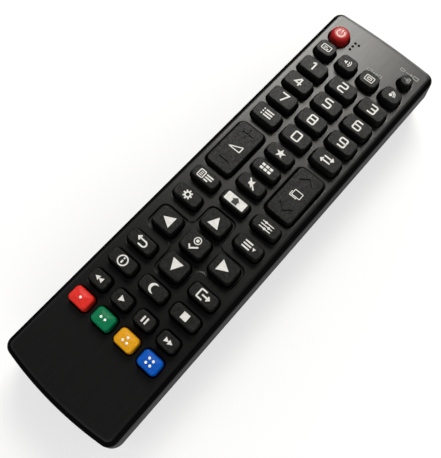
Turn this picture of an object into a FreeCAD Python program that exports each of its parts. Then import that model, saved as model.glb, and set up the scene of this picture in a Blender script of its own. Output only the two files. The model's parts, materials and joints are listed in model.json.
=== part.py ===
"""Hand-held infrared remote control with 46 rubber keys, millimetres.

The origin is at the middle of the underside. +Y points to the emitter end, +Z out of the key face.
The case is sized round its keys, cells and board, so each size below is written once.
"""
import FreeCAD, Part
import math
import os

from FreeCAD import Vector

# Cells, two side by side under the hand end
CELL_DIAMETER = 10.5
CELL_LENGTH = 44.5          # over the nub
CELL_NUB_DIAMETER = 3.8
CELL_NUB_HEIGHT = 0.8
CELL_GAP = 0.35             # round each cell
CELL_FACETS = 28
SPRING_ROOM = 2.6           # a leaf contact's bow when a cell is in
CONTACT_THICKNESS = 0.4
CONTACT_GAP = 0.05
CONTACT_WIDTH = 7.6
CONTACT_HEIGHT = 8.0
LEAF_WIDTH = 4.4
LEAF_FACETS = 6
LEG_WIDTH = 1.4             # a contact's leg up to the board

# Case shells
CASE_WALL = 1.8
PARTING_DROP = 8.5          # from the key face down to the parting line
SIDE_MARGIN = 3.95          # from the outer key edge to the side of the case
EMITTER_MARGIN = 11.6       # from the power key's centre to the emitter end
HAND_MARGIN = 26.9          # from the last row's centre to the hand end
FLARE = 1.05                # how far the sides lean out down to the parting line
TUCK = 1.0                  # how far they lean in again down to the base
SHOULDER_RADIUS = 2.4
BASE_RADIUS = 3.0
OVERLAP = 1.0               # how far a cutting shape runs past what it cuts
SAME_POINT = 1e-6
INNER_CORNER = 0.2          # the least corner radius in plan, inside the case
OUTSIDE_FACETS = 6          # flat facets in a corner of the case, in plan
OUTSIDE_BOW_FACETS = 8      # across an end
EDGE_FACETS = 5             # and round its top and bottom edge
INSIDE_FACETS = 4
INSIDE_BOW_FACETS = 6
EMITTER_END_RADIUS = 280.0
HAND_END_RADIUS = 129.0
LIP_THICKNESS = 0.8         # the top case's lip inside the bottom case
LIP_HEIGHT = 1.5
LIP_GAP = 0.15

# Battery bay and cover
BAY_WALL = 1.2
BAY_SETBACK = 6.0           # from the hand end to the bay's inside
SKIN = 1.0                  # floor of the recess that the cover lies in
COVER_GAP = 0.3             # between the cover and that floor
COVER_SIDE_GAP = 0.3
COVER_MARGIN = 4.1          # from the bay's wall to the cover's edge
COVER_FRONT_MARGIN = 5.0
COVER_END_RISE = 6.3        # the cover climbs this far up the hand end
TONGUE_REACH = 0.8
TONGUE_THICKNESS = 0.8
TONGUE_GAP = 0.3
TAB_WIDTH = 10.0
TAB_REACH = 1.3
DISH_WIDTH = 15.0
DISH_LENGTH = 9.0
DISH_DEPTH = 0.6
DISH_SETBACK = 5.0
GRIP_BARS = 4
GRIP_BAR_WIDTH = 0.8

# Board, mat and what carries them
BOARD_THICKNESS = 1.2
BOARD_GAP = 0.3             # over the bay's ceiling, and under the hold-down ribs
BOARD_SIDE_GAP = 1.0
BOARD_MARGIN = 2.5          # past the last keys
MAT_THICKNESS = 0.5
MAT_MARGIN = 1.0
RIB_REACH = 4.6             # a board rib's length from the wall
RIB_LAP = 0.5               # a hold-down rib's reach over the board

# Parts on the board
CHIP_WIDTH = 6.2
CHIP_LENGTH = 10.2
CHIP_HEIGHT = 1.6
CHIP_LEADS = 8              # along each side
CHIP_LEAD_REACH = 1.0
CHIP_LEAD_WIDTH = 0.45
CHIP_LEAD_HEIGHT = 0.55
RESONATOR_WIDTH = 7.0
RESONATOR_DEPTH = 3.0
RESONATOR_HEIGHT = 2.4
CAPACITOR_DIAMETER = 4.0
CAPACITOR_LENGTH = 5.4
PART_SPACING = 3.0          # between the parts on the board

# Emitter
LED_DIAMETER = 3.0
LED_LENGTH = 5.2
LED_RIM = 0.45
LED_LEAD = 0.4
LED_LEAD_SPACING = 2.54
LED_LEAD_LENGTH = 4.0
LED_GAP = 0.3
LED_FACETS = 16
LED_DOME_FACETS = 4
WINDOW_WIDTH = 10.0
WINDOW_HEIGHT = 4.4
WINDOW_RADIUS = 1.4
WINDOW_RISE = 1.3           # from the parting line to the window
WINDOW_GAP = 0.1
WINDOW_RIM = 0.7

# Keys
KEY_STAND = 2.9             # a key's top over the key face
ROCKER_STAND = 2.0
KEY_TRAVEL = 1.0
ROCKER_TILT = 2.5           # degrees to each side
KEY_GAP = 0.3               # between a key and its opening
KEY_DRAFT = 0.03            # a key narrows by this share of its height, on each side
KEY_EDGE = 0.35             # bevel round a key's top
FLANGE_THICKNESS = 0.7
FLANGE_LAP = 0.2            # a flange's hold behind the key face
FLANGE_GAP = 0.3
PRESSED_GAP = 0.3           # between a pressed key and the mat

NUMBER_WIDTH = 10.3
NUMBER_DEPTH = 6.2
NUMBER_RADIUS = 1.6
SMALL_WIDTH = 7.3
SMALL_DEPTH = 6.0
SMALL_RADIUS = 2.1
BAR_WIDTH = 10.0
BAR_DEPTH = 4.8
BAR_RADIUS = 1.5
ARROW_WIDTH = 8.9
ARROW_DEPTH = 7.1
ARROW_RADIUS = 1.6
ROCKER_WIDTH = 10.2
ROCKER_DEPTH = 19.6
ROCKER_RADIUS = 1.6
PLAY_WIDTH = 6.8
PLAY_DEPTH = 4.9
PLAY_RADIUS = 1.5
COLOUR_WIDTH = 7.2
COLOUR_DEPTH = 5.5
COLOUR_RADIUS = 1.5
POWER_DIAMETER = 7.3
INPUT_DIAMETER = 4.75
INPUT_OFFSET = 0.5          # the input key sits this far outside its column
CORNER_FACETS = 4           # flat facets in a quarter turn of a key's corner
ROUND_FACETS = 6            # and in a quarter turn of a round key

# Gaps between the keys, edge to edge at the key face
COLUMN_GAP = 2.7
SMALL_COLUMN_GAP = 2.4
FOUR_COLUMN_GAP = 2.3
POWER_ROW_GAP = 2.2
SMALL_ROW_GAP = 3.35
NUMBER_ROW_GAP = 2.53
FAVOURITE_ROW_GAP = 3.2
CENTRE_ROW_GAP = 2.7
TEXT_ROW_GAP = 3.35
SETTINGS_ROW_GAP = 3.86
UP_ROW_GAP = 3.54
NAVIGATION_GAP = 2.6
NAVIGATION_SIDE_GAP = 3.1
INFO_ROW_GAP = 3.38
BACK_ROW_GAP = 3.58
PLAY_ROW_GAP = 3.82
COLOUR_ROW_GAP = 2.6
ROCKER_DROP = 0.4           # the rockers sit this much under the guide key's row

# Recess round the navigation keys
RECESS_DEPTH = 0.5
RECESS_MARGIN = 1.1
RECESS_RADIUS = 2.4

# Heights, from the table up
cell_z = CASE_WALL + CELL_GAP + CELL_DIAMETER / 2
bay_ceiling_z = cell_z + CELL_DIAMETER / 2 + CELL_GAP
board_z = bay_ceiling_z + SKIN + BOARD_GAP
mat_z = board_z + BOARD_THICKNESS
flange_z = mat_z + MAT_THICKNESS + PRESSED_GAP + KEY_TRAVEL
flange_top_z = flange_z + FLANGE_THICKNESS
fascia_under_z = flange_top_z + FLANGE_GAP
fascia_z = fascia_under_z + CASE_WALL
parting_z = fascia_z - PARTING_DROP
opening_wider = KEY_DRAFT * (fascia_z - fascia_under_z) + KEY_GAP
flange_wider = opening_wider + FLANGE_LAP
rib_thickness = min(SMALL_ROW_GAP, TEXT_ROW_GAP) - 2 * (flange_wider + KEY_GAP)

# Columns of keys, from the middle
column_x = NUMBER_WIDTH + COLUMN_GAP
small_pitch = SMALL_WIDTH + SMALL_COLUMN_GAP
small_columns = [(place - 1.5) * small_pitch for place in range(4)]
four_pitch = max(PLAY_WIDTH, COLOUR_WIDTH) + FOUR_COLUMN_GAP
four_columns = [(place - 1.5) * four_pitch for place in range(4)]
arrow_x = ARROW_WIDTH + NAVIGATION_SIDE_GAP

# Rows of keys, first as distances below the power key's centre
small_row = POWER_DIAMETER / 2 + POWER_ROW_GAP + SMALL_DEPTH / 2
number_row = small_row + SMALL_DEPTH / 2 + SMALL_ROW_GAP + NUMBER_DEPTH / 2
number_pitch = NUMBER_DEPTH + NUMBER_ROW_GAP
favourite_row = number_row + 3 * number_pitch + NUMBER_DEPTH / 2 + FAVOURITE_ROW_GAP + BAR_DEPTH / 2
guide_row = favourite_row + BAR_DEPTH + CENTRE_ROW_GAP
mute_row = guide_row + BAR_DEPTH + CENTRE_ROW_GAP
text_row = mute_row + BAR_DEPTH + TEXT_ROW_GAP
settings_row = text_row + BAR_DEPTH + SETTINGS_ROW_GAP
up_row = text_row + BAR_DEPTH / 2 + UP_ROW_GAP + ARROW_DEPTH / 2
ok_row = up_row + ARROW_DEPTH + NAVIGATION_GAP
down_row = ok_row + ARROW_DEPTH + NAVIGATION_GAP
info_row = down_row + ARROW_DEPTH / 2 + INFO_ROW_GAP + BAR_DEPTH / 2
back_row = info_row - BAR_DEPTH - BACK_ROW_GAP
play_row = info_row + BAR_DEPTH / 2 + PLAY_ROW_GAP + PLAY_DEPTH / 2
colour_row = play_row + PLAY_DEPTH / 2 + COLOUR_ROW_GAP + COLOUR_DEPTH / 2

# Half sizes of the case, at the key face, the parting line and the base
number_edge = column_x + NUMBER_WIDTH / 2
small_edge = small_columns[3] + SMALL_WIDTH / 2
face_half_width = max(number_edge, small_edge) + SIDE_MARGIN
face_half_length = (EMITTER_MARGIN + colour_row + HAND_MARGIN) / 2
parting_half_width = face_half_width + FLARE
parting_half_length = face_half_length + FLARE
deepest_inset = max(FLARE + SHOULDER_RADIUS, TUCK + max(BASE_RADIUS, CASE_WALL + COVER_GAP + SKIN))
corner_radius = INNER_CORNER + deepest_inset
power_y = face_half_length - EMITTER_MARGIN
keys_high_y = power_y + POWER_DIAMETER / 2 + flange_wider
keys_low_y = power_y - colour_row - COLOUR_DEPTH / 2 - flange_wider
board_half_width = face_half_width - CASE_WALL - BOARD_SIDE_GAP

# Battery bay and cover, from the hand end
cell_x = CELL_DIAMETER / 2 + CELL_GAP
bay_half_width = cell_x + CELL_DIAMETER / 2 + CELL_GAP
bay_low_y = -parting_half_length + BAY_SETBACK
bay_length = CELL_LENGTH + SPRING_ROOM + 2 * CONTACT_THICKNESS + 2 * CONTACT_GAP
bay_high_y = bay_low_y + bay_length
cover_half_width = bay_half_width + BAY_WALL + COVER_MARGIN
cover_front_y = bay_high_y + BAY_WALL + COVER_FRONT_MARGIN
opening_half_width = cover_half_width + COVER_SIDE_GAP
groove_half_width = cover_half_width + TONGUE_REACH + COVER_SIDE_GAP
floor_inset = CASE_WALL + COVER_GAP
tongue_z = CASE_WALL - TONGUE_THICKNESS
past_the_end = -parting_half_length - OVERLAP

# The emitter and the chip
led_z = board_z + LED_DIAMETER / 2 - LED_RIM / 2
led_tip_y = face_half_length - CASE_WALL - WINDOW_RIM - LED_GAP
led_back_y = led_tip_y - LED_LENGTH
notch_half_width = LED_DIAMETER / 2 + LED_RIM + LED_GAP
leads_low_y = led_back_y - LED_LEAD_LENGTH
chip_y = power_y - number_row - number_pitch

# Each kind of key: width, depth and corner radius at the key face. A round key has no radius.
KINDS = {
    "power": (POWER_DIAMETER, POWER_DIAMETER, None),
    "input": (INPUT_DIAMETER, INPUT_DIAMETER, None),
    "small": (SMALL_WIDTH, SMALL_DEPTH, SMALL_RADIUS),
    "number": (NUMBER_WIDTH, NUMBER_DEPTH, NUMBER_RADIUS),
    "bar": (BAR_WIDTH, BAR_DEPTH, BAR_RADIUS),
    "arrow": (ARROW_WIDTH, ARROW_DEPTH, ARROW_RADIUS),
    "rocker": (ROCKER_WIDTH, ROCKER_DEPTH, ROCKER_RADIUS),
    "play": (PLAY_WIDTH, PLAY_DEPTH, PLAY_RADIUS),
    "colour": (COLOUR_WIDTH, COLOUR_DEPTH, COLOUR_RADIUS),
}


def place_keys():
    """Every key's kind and the place of its centre, by name."""
    keys = {}
    side = column_x
    columns = (-side, 0.0, side)
    small_outer = small_columns[3]

    def add_row(kind, row, places, names):
        for x, name in zip(places, names):
            keys[name] = (kind, x, power_y - row)

    add_row("power", 0.0, [-small_outer], ["power_key"])
    add_row("input", 0.0, [small_outer + INPUT_OFFSET], ["input_key"])
    small_names = ["subtitle_key", "audio_description_key", "ratio_key", "tv_radio_key"]
    add_row("small", small_row, small_columns, small_names)
    for count in range(3):
        digits = [f"digit_{3 * count + place}_key" for place in (1, 2, 3)]
        add_row("number", number_row + count * number_pitch, columns, digits)
    last_names = ["list_key", "digit_0_key", "quick_view_key"]
    add_row("number", number_row + 3 * number_pitch, columns, last_names)
    add_row("rocker", guide_row + ROCKER_DROP, [-side, side], ["volume_rocker", "programme_rocker"])
    add_row("bar", favourite_row, [0.0], ["favourite_key"])
    add_row("bar", guide_row, [0.0], ["guide_key"])
    add_row("bar", mute_row, [0.0], ["mute_key"])
    add_row("bar", text_row, columns, ["text_key", "home_key", "text_option_key"])
    add_row("bar", settings_row, [-side, side], ["settings_key", "quick_menu_key"])
    add_row("arrow", up_row, [0.0], ["up_key"])
    add_row("arrow", ok_row, [-arrow_x, 0.0, arrow_x], ["left_key", "ok_key", "right_key"])
    add_row("arrow", down_row, [0.0], ["down_key"])
    add_row("bar", back_row, [-side, side], ["back_key", "exit_key"])
    add_row("bar", info_row, columns, ["info_key", "sleep_key", "stop_key"])
    play_names = ["rewind_key", "play_key", "pause_key", "fast_forward_key"]
    add_row("play", play_row, four_columns, play_names)
    add_row("colour", colour_row, four_columns, ["red_key", "green_key", "yellow_key", "blue_key"])
    return keys



# Shapes that the pieces below share


def box(low, high):
    """A box from its low corner to its high corner."""
    size = [b - a for a, b in zip(low, high)]
    return Part.makeBox(size[0], size[1], size[2], Vector(*low))


def fused(shapes):
    """One clean solid of shapes that meet."""
    whole = shapes[0].fuse(shapes[1:]) if len(shapes) > 1 else shapes[0]
    return whole.removeSplitter()


def corner_points(centre, radius, start_turn, end_turn, facets):
    """Points round a corner, in flat facets from one turn to the other, in radians."""
    swing = (end_turn - start_turn + math.pi) % (2 * math.pi) - math.pi
    turns = [start_turn + swing * step / facets for step in range(facets + 1)]
    return [centre + Vector(math.cos(turn), math.sin(turn), 0) * radius for turn in turns]


def turn_of(vector):
    return math.atan2(vector.y, vector.x)


def rounded_ring(corners, facets, z):
    """The points of an outline at height z whose corners (x, y, radius) are rounded in facets."""
    ring = []
    for place, (x, y, radius) in enumerate(corners):
        here = Vector(x, y, z)
        after = corners[(place + 1) % len(corners)]
        back = (Vector(corners[place - 1][0], corners[place - 1][1], z) - here).normalize()
        ahead = (Vector(after[0], after[1], z) - here).normalize()
        half_angle = back.getAngle(ahead) / 2
        run = radius / math.tan(half_angle)
        centre = here + (back + ahead).normalize() * (radius / math.sin(half_angle))
        start, end = here + back * run - centre, here + ahead * run - centre
        for point in corner_points(centre, radius, turn_of(start), turn_of(end), facets):
            if not ring or not point.isEqual(ring[-1], SAME_POINT):
                ring.append(point)
    if ring[-1].isEqual(ring[0], SAME_POINT):
        ring.pop()
    return ring


def rectangle_ring(x, y, half_width, half_depth, radius, facets, z):
    right, left = x + half_width, x - half_width
    top, bottom = y + half_depth, y - half_depth
    corners = [(right, top), (left, top), (left, bottom), (right, bottom)]
    return rounded_ring([(a, b, radius) for a, b in corners], facets, z)


def stacked(rings):
    """A solid whose flat sides run from each ring of points to the next."""
    def facet(points):
        return Part.Face(Part.makePolygon(points + points[:1]))

    faces = [facet(rings[0]), facet(rings[-1])]
    for low, high in zip(rings, rings[1:]):
        for place in range(len(low)):
            after = (place + 1) % len(low)
            faces.append(facet([low[place], low[after], high[after], high[place]]))
    solid = Part.makeSolid(Part.makeShell(faces))
    if solid.Volume < 0:
        solid.reverse()
    return solid


def turned(x, z, profile, facets):
    """A solid turned about an axis along Y in flat facets. profile lists (y, radius)."""
    turns = [2 * math.pi * step / facets for step in range(facets)]
    rings = []
    for y, radius in profile:
        spokes = [(radius * math.cos(turn), radius * math.sin(turn)) for turn in turns]
        rings.append([Vector(x + across, y, z + up) for across, up in spokes])
    return stacked(rings)


def case_ring(inset, z, corner_facets, bow_facets):
    """The points of the case's plan at height z, drawn in by inset from the parting line."""
    ring = []
    for end_radius, along in ((EMITTER_END_RADIUS, 1), (HAND_END_RADIUS, -1)):
        bow = end_radius - inset
        corner = corner_radius - inset
        across = parting_half_width - corner_radius
        bow_centre = Vector(0, parting_half_length - end_radius, 0)
        reach = math.sqrt((end_radius - corner_radius) ** 2 - across ** 2)
        corner_centre = bow_centre + Vector(across, reach, 0)
        meeting = turn_of(corner_centre - bow_centre)
        quarter = corner_points(corner_centre, corner, 0.0, meeting, corner_facets)
        middle = corner_points(bow_centre, bow, meeting, math.pi - meeting, bow_facets)[1:-1]
        mirrored = [Vector(-point.x, point.y, 0) for point in reversed(quarter)]
        points = quarter + middle + mirrored
        if along < 0:
            points.reverse()
        ring += [Vector(point.x, along * point.y, z) for point in points]
    return ring


def outside(flat_z, lean, radius):
    """Half of the case, with its sides leaning in from the parting line and a rounded edge at flat_z."""
    height = abs(parting_z - flat_z)
    up = 1 if flat_z < parting_z else -1
    slope = math.atan2(lean, height)
    centre_inset = lean * (height - radius) / height + radius / math.cos(slope)
    profile = [(0.0, height)]
    for step in range(EDGE_FACETS + 1):
        turn = slope + (math.pi / 2 - slope) * step / EDGE_FACETS
        profile.append((centre_inset - radius * math.cos(turn), radius - radius * math.sin(turn)))
    facets = (OUTSIDE_FACETS, OUTSIDE_BOW_FACETS)
    return stacked([case_ring(inset, flat_z + up * depth, *facets) for inset, depth in profile])


def inside(inset, low_z, high_z, lean, height):
    """The room in the case, inset from sides that lean over a height from the parting line."""
    rings = []
    for z in (low_z, high_z):
        drawn_in = inset + lean * (z - parting_z) / height
        rings.append(case_ring(drawn_in, z, INSIDE_FACETS, INSIDE_BOW_FACETS))
    return stacked(rings)


def top_inside(inset, high_z):
    """The upper half of the room. It reaches a little under the parting line."""
    return inside(inset, parting_z - OVERLAP, high_z, FLARE, PARTING_DROP)


def bottom_inside(inset):
    """The lower half of the room. It reaches a little over the parting line."""
    return inside(inset, inset, parting_z + OVERLAP, -TUCK, parting_z)


def straight_inside(inset, low_z, high_z):
    return inside(inset, low_z, high_z, 0.0, 1.0)


def top_outside():
    return outside(fascia_z, FLARE, SHOULDER_RADIUS)


def bottom_outside():
    return outside(0.0, TUCK, BASE_RADIUS)


# Keys


def key_ring(kind, wider, z):
    """The corners of a key's outline at height z about the origin, grown on all sides."""
    width, depth, radius = KINDS[kind]
    facets = CORNER_FACETS
    if radius is None:
        radius, facets = width / 2, ROUND_FACETS
    return rectangle_ring(0, 0, width / 2 + wider, depth / 2 + wider, radius + wider, facets, z)


def key_opening(kind):
    """What is cut from the key face for a key of one kind."""
    heights = (fascia_under_z - OVERLAP, fascia_z + OVERLAP)
    return stacked([key_ring(kind, opening_wider, z) for z in heights])


def flange_reach(kind, side):
    """Half of a key's flange, across (side 0) or along (side 1)."""
    return KINDS[kind][side] / 2 + flange_wider


def key_flange(kind, top_z):
    """The flange that keeps a key behind the key face."""
    low_z = top_z - FLANGE_THICKNESS
    if KINDS[kind][2] is None:
        return stacked([key_ring(kind, flange_wider, z) for z in (low_z, top_z)])
    across, along = flange_reach(kind, 0), flange_reach(kind, 1)
    return box((-across, -along, low_z), (across, along, top_z))


def make_key(kind):
    """A key of one kind about the origin: a drafted cap with a bevelled top, on its flange."""
    stand, seat_z = KEY_STAND, flange_top_z
    if kind == "rocker":
        stand = ROCKER_STAND
        seat_z = flange_top_z - flange_reach(kind, 1) * math.sin(math.radians(ROCKER_TILT))
    top_z = fascia_z + stand
    root_z = seat_z - FLANGE_THICKNESS / 2
    edge_z = top_z - KEY_EDGE
    cap = stacked([
        key_ring(kind, KEY_DRAFT * (fascia_z - root_z), root_z),
        key_ring(kind, KEY_DRAFT * (fascia_z - edge_z), edge_z),
        key_ring(kind, KEY_DRAFT * (fascia_z - edge_z) - KEY_EDGE, top_z),
    ])
    return fused([cap, key_flange(kind, seat_z)])


def placed(solid, x, y):
    """A copy of a solid, moved sideways."""
    copy = solid.copy()
    copy.translate(Vector(x, y, 0))
    return copy


# Case


def navigation_recess():
    """The shallow cross that the navigation keys stand in."""
    half_arrow = ARROW_WIDTH / 2 + RECESS_MARGIN
    half_row = ARROW_DEPTH / 2 + RECESS_MARGIN
    reach = arrow_x + half_arrow
    middle_y = power_y - ok_row
    top, bottom = power_y - up_row + half_row, power_y - down_row - half_row
    upper, lower = middle_y + half_row, middle_y - half_row
    corners = [
        (half_arrow, top), (-half_arrow, top), (-half_arrow, upper), (-reach, upper),
        (-reach, lower), (-half_arrow, lower), (-half_arrow, bottom), (half_arrow, bottom),
        (half_arrow, lower), (reach, lower), (reach, upper), (half_arrow, upper),
    ]
    rounded = [(x, y, RECESS_RADIUS) for x, y in corners]
    heights = (fascia_z - RECESS_DEPTH, fascia_z + OVERLAP)
    return stacked([rounded_ring(rounded, CORNER_FACETS, z) for z in heights])


def window_prism(grow):
    """The emitter window's outline, grown on all sides and run out through the end wall."""
    low_z = parting_z + WINDOW_RISE
    middle_z = low_z + WINDOW_HEIGHT / 2
    half_width, half_height = WINDOW_WIDTH / 2 + grow, WINDOW_HEIGHT / 2 + grow
    prism = stacked([
        rectangle_ring(0, 0, half_width, half_height, WINDOW_RADIUS + grow, CORNER_FACETS, z)
        for z in (0.0, EMITTER_MARGIN)
    ])
    prism.rotate(Vector(0, 0, 0), Vector(1, 0, 0), -90)
    prism.translate(Vector(0, face_half_length - EMITTER_MARGIN / 2, middle_z))
    return prism


def rib_rows():
    """Where the ribs that hold the board stand, between rows of keys and past the first row."""
    return [
        keys_high_y + MAT_MARGIN + rib_thickness / 2,
        power_y - small_row - (SMALL_DEPTH + SMALL_ROW_GAP) / 2,
        power_y - mute_row - (BAR_DEPTH + TEXT_ROW_GAP) / 2,
    ]


def make_top_case(keys):
    outer = top_outside()
    inner = top_inside(CASE_WALL, fascia_under_z)
    lip_inset = CASE_WALL - LIP_THICKNESS
    lip_low_z = parting_z - LIP_HEIGHT
    lip_outside = straight_inside(lip_inset, lip_low_z, parting_z)
    lip = lip_outside.cut(straight_inside(CASE_WALL, lip_low_z - OVERLAP, parting_z + OVERLAP))
    ribs = []
    for y in rib_rows():
        for side in (-1, 1):
            ends = (board_half_width - RIB_LAP, face_half_width - CASE_WALL / 2)
            edges = sorted(side * end for end in ends)
            low = (edges[0], y - rib_thickness / 2, mat_z + BOARD_GAP)
            high = (edges[1], y + rib_thickness / 2, fascia_under_z + CASE_WALL / 2)
            ribs.append(box(low, high))
    shell = fused([outer.cut(inner), lip] + ribs)
    openings = {kind: key_opening(kind) for kind in KINDS}
    cuts = [placed(openings[kind], x, y) for kind, x, y in keys.values()]
    return shell.cut(cuts + [navigation_recess(), window_prism(0.0)])


def cover_layer(half_width, front_y, low_z, high_z):
    """A box from the hand end to front_y, for what the cover fills and what is cut for it."""
    return box((-half_width, past_the_end, low_z), (half_width, front_y, high_z))


def make_battery_cover(shell):
    """The cover is a cut-out of the bottom case's own wall, with side tongues and a front tab."""
    plate = shell.common(cover_layer(cover_half_width, cover_front_y, -OVERLAP, COVER_END_RISE))
    tongue_low_y = -parting_half_length + BAY_SETBACK
    half_tongue = cover_half_width + TONGUE_REACH
    tongues = box((-half_tongue, tongue_low_y, tongue_z), (half_tongue, cover_front_y, CASE_WALL))
    half_tab = TAB_WIDTH / 2
    tab_low, tab_high = cover_front_y - OVERLAP, cover_front_y + TAB_REACH
    tab = box((-half_tab, tab_low, tongue_z), (half_tab, tab_high, CASE_WALL))
    cover = fused([plate, tongues, tab])
    dish_y = cover_front_y - DISH_SETBACK - DISH_LENGTH / 2
    dish = stacked([
        rectangle_ring(0, dish_y, DISH_WIDTH / 2, DISH_LENGTH / 2, DISH_LENGTH / 3, CORNER_FACETS, z)
        for z in (-OVERLAP, DISH_DEPTH)
    ])
    pitch = DISH_LENGTH / (GRIP_BARS + 1)
    bars = []
    for place in range(GRIP_BARS):
        y = dish_y + (place - (GRIP_BARS - 1) / 2) * pitch
        half_bar = DISH_WIDTH / 2 - DISH_LENGTH / 4
        low = (-half_bar, y - GRIP_BAR_WIDTH / 2, DISH_DEPTH / 3)
        bars.append(box(low, (half_bar, y + GRIP_BAR_WIDTH / 2, CASE_WALL)))
    return fused([cover.cut(dish)] + bars)


def make_bottom_case(shell):
    """Lower shell with the cover's recess, the battery bay and the board ribs."""
    front = cover_front_y + COVER_SIDE_GAP
    rise = COVER_END_RISE + COVER_SIDE_GAP
    rebate_inset = CASE_WALL - LIP_THICKNESS - LIP_GAP
    rebate_z = parting_z - LIP_HEIGHT - LIP_GAP
    walls = shell.cut(straight_inside(rebate_inset, rebate_z, parting_z + OVERLAP))
    groove_low, groove_high = tongue_z - COVER_SIDE_GAP, CASE_WALL + TONGUE_GAP
    groove = cover_layer(groove_half_width, front, groove_low, groove_high)
    half_tab = TAB_WIDTH / 2 + COVER_SIDE_GAP
    tab_slot = cover_layer(half_tab, cover_front_y + TAB_REACH + COVER_SIDE_GAP, groove_low, groove_high)
    walls = walls.cut([cover_layer(opening_half_width, front, -OVERLAP, rise), groove, tab_slot])

    # Floor of the recess, one skin inside the wall, and the step that joins it to the wall
    under_floor = bottom_inside(floor_inset)
    over_floor = bottom_inside(floor_inset + SKIN)
    step = CASE_WALL
    frame = cover_layer(groove_half_width + step, cover_front_y + TAB_REACH + step, 0.0, rise + step)
    floor = under_floor.cut(over_floor).common(frame)
    joint = bottom_inside(CASE_WALL).cut(under_floor).common(frame)
    clear = cover_layer(groove_half_width, cover_front_y + TAB_REACH + COVER_SIDE_GAP, 0.0, rise)
    joint = joint.cut(clear)

    # Battery bay
    wall_half = bay_half_width + BAY_WALL
    tub_low = (-wall_half, bay_low_y - BAY_WALL, floor_inset + SKIN / 2)
    tub = box(tub_low, (wall_half, bay_high_y + BAY_WALL, bay_ceiling_z + SKIN))
    bay = box((-bay_half_width, bay_low_y, -OVERLAP), (bay_half_width, bay_high_y, bay_ceiling_z))
    legs = [leg_box(x, COVER_SIDE_GAP) for x in (-cell_x, cell_x)]

    # Ribs that carry the board, clear of the top case's lip, with feet that run into the side walls
    ribs = []
    lip_x = parting_half_width - CASE_WALL - LIP_GAP
    wall_x = parting_half_width - TUCK - CASE_WALL / 2
    for y in rib_rows():
        low_y, high_y = y - rib_thickness / 2, y + rib_thickness / 2
        for side in (-1, 1):
            rib_x = sorted((side * (lip_x - RIB_REACH), side * lip_x))
            ribs.append(box((rib_x[0], low_y, CASE_WALL / 2), (rib_x[1], high_y, board_z)))
            foot_x = sorted((side * (lip_x - RIB_REACH), side * wall_x))
            foot_top = rebate_z - COVER_SIDE_GAP
            ribs.append(box((foot_x[0], low_y, BASE_RADIUS), (foot_x[1], high_y, foot_top)))
    case = fused([walls, floor, joint, tub] + ribs)
    return case.cut([bay] + legs)


# Battery contacts and cells


def leg_box(x, grow):
    """A contact's leg from the hand end of the bay up to the board, grown on all sides."""
    low = (x - LEG_WIDTH / 2 - grow, bay_low_y - grow, cell_z)
    high = (x + LEG_WIDTH / 2 + grow, bay_low_y + CONTACT_THICKNESS + grow, board_z + grow)
    return box(low, high)


def contact_plate(x_low, x_high, wall_y, inward):
    """A flat plate on one end wall of the bay. inward is the direction of the cells."""
    face_y = wall_y + inward * CONTACT_THICKNESS
    low_y, high_y = sorted((wall_y, face_y))
    half_height = CONTACT_HEIGHT / 2
    return box((x_low, low_y, cell_z - half_height), (x_high, high_y, cell_z + half_height))


def leaf(x, wall_y, inward):
    """The bowed leaf that presses on a cell's flat end, as a strip in flat facets."""
    half_chord = CONTACT_HEIGHT / 2 - CONTACT_THICKNESS
    radius = (half_chord ** 2 + SPRING_ROOM ** 2) / (2 * SPRING_ROOM)
    swing = math.asin(half_chord / radius)
    middle_y = wall_y + inward * (CONTACT_THICKNESS + SPRING_ROOM - radius)
    profile = []
    for reach, turns in ((radius, LEAF_FACETS), (radius - CONTACT_THICKNESS, -LEAF_FACETS)):
        for step in range(LEAF_FACETS + 1):
            turn = swing * (2 * step - LEAF_FACETS) / turns
            profile.append((middle_y + inward * reach * math.cos(turn), cell_z + reach * math.sin(turn)))
    half_width = LEAF_WIDTH / 2
    return stacked([[Vector(side, y, z) for y, z in profile] for side in (x - half_width, x + half_width)])


def make_contacts():
    half = CONTACT_WIDTH / 2
    link = fused([
        contact_plate(-cell_x - half, cell_x + half, bay_high_y, -1),
        leaf(-cell_x, bay_high_y, -1),
    ])
    negative = fused([
        contact_plate(cell_x - half, cell_x + half, bay_low_y, 1),
        leaf(cell_x, bay_low_y, 1),
        leg_box(cell_x, 0.0),
    ])
    positive = fused([
        contact_plate(-cell_x - half, -cell_x + half, bay_low_y, 1),
        leg_box(-cell_x, 0.0),
    ])
    return {"contact_link": link, "contact_negative": negative, "contact_positive": positive}


def make_cell(x, nub_y, towards_flat):
    """One cell. nub_y is its nub's tip, and towards_flat the direction to its flat end."""
    shoulder_y = nub_y + towards_flat * CELL_NUB_HEIGHT
    flat_y = nub_y + towards_flat * CELL_LENGTH
    nub, can = CELL_NUB_DIAMETER / 2, CELL_DIAMETER / 2
    profile = [(nub_y, nub), (shoulder_y, nub), (shoulder_y, can), (flat_y, can)]
    return turned(x, cell_z, profile, CELL_FACETS)


def make_battery_cells():
    clear = CONTACT_THICKNESS + CONTACT_GAP
    left = make_cell(-cell_x, bay_low_y + clear, 1)
    right = make_cell(cell_x, bay_high_y - clear, -1)
    return Part.makeCompound([left, right])


# Board, mat and electronics



def notch(low_y):
    """The room that the emitter needs in the board's end and the mat's."""
    low = (-notch_half_width, low_y, board_z - OVERLAP)
    return box(low, (notch_half_width, parting_half_length, mat_z + MAT_THICKNESS + OVERLAP))


def make_circuit_board():
    high_y = led_tip_y - LED_LENGTH / 2
    low_y = keys_low_y - BOARD_MARGIN
    board = box((-board_half_width, low_y, board_z), (board_half_width, high_y, mat_z))
    return board.cut(notch(led_back_y - LED_GAP))


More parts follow.
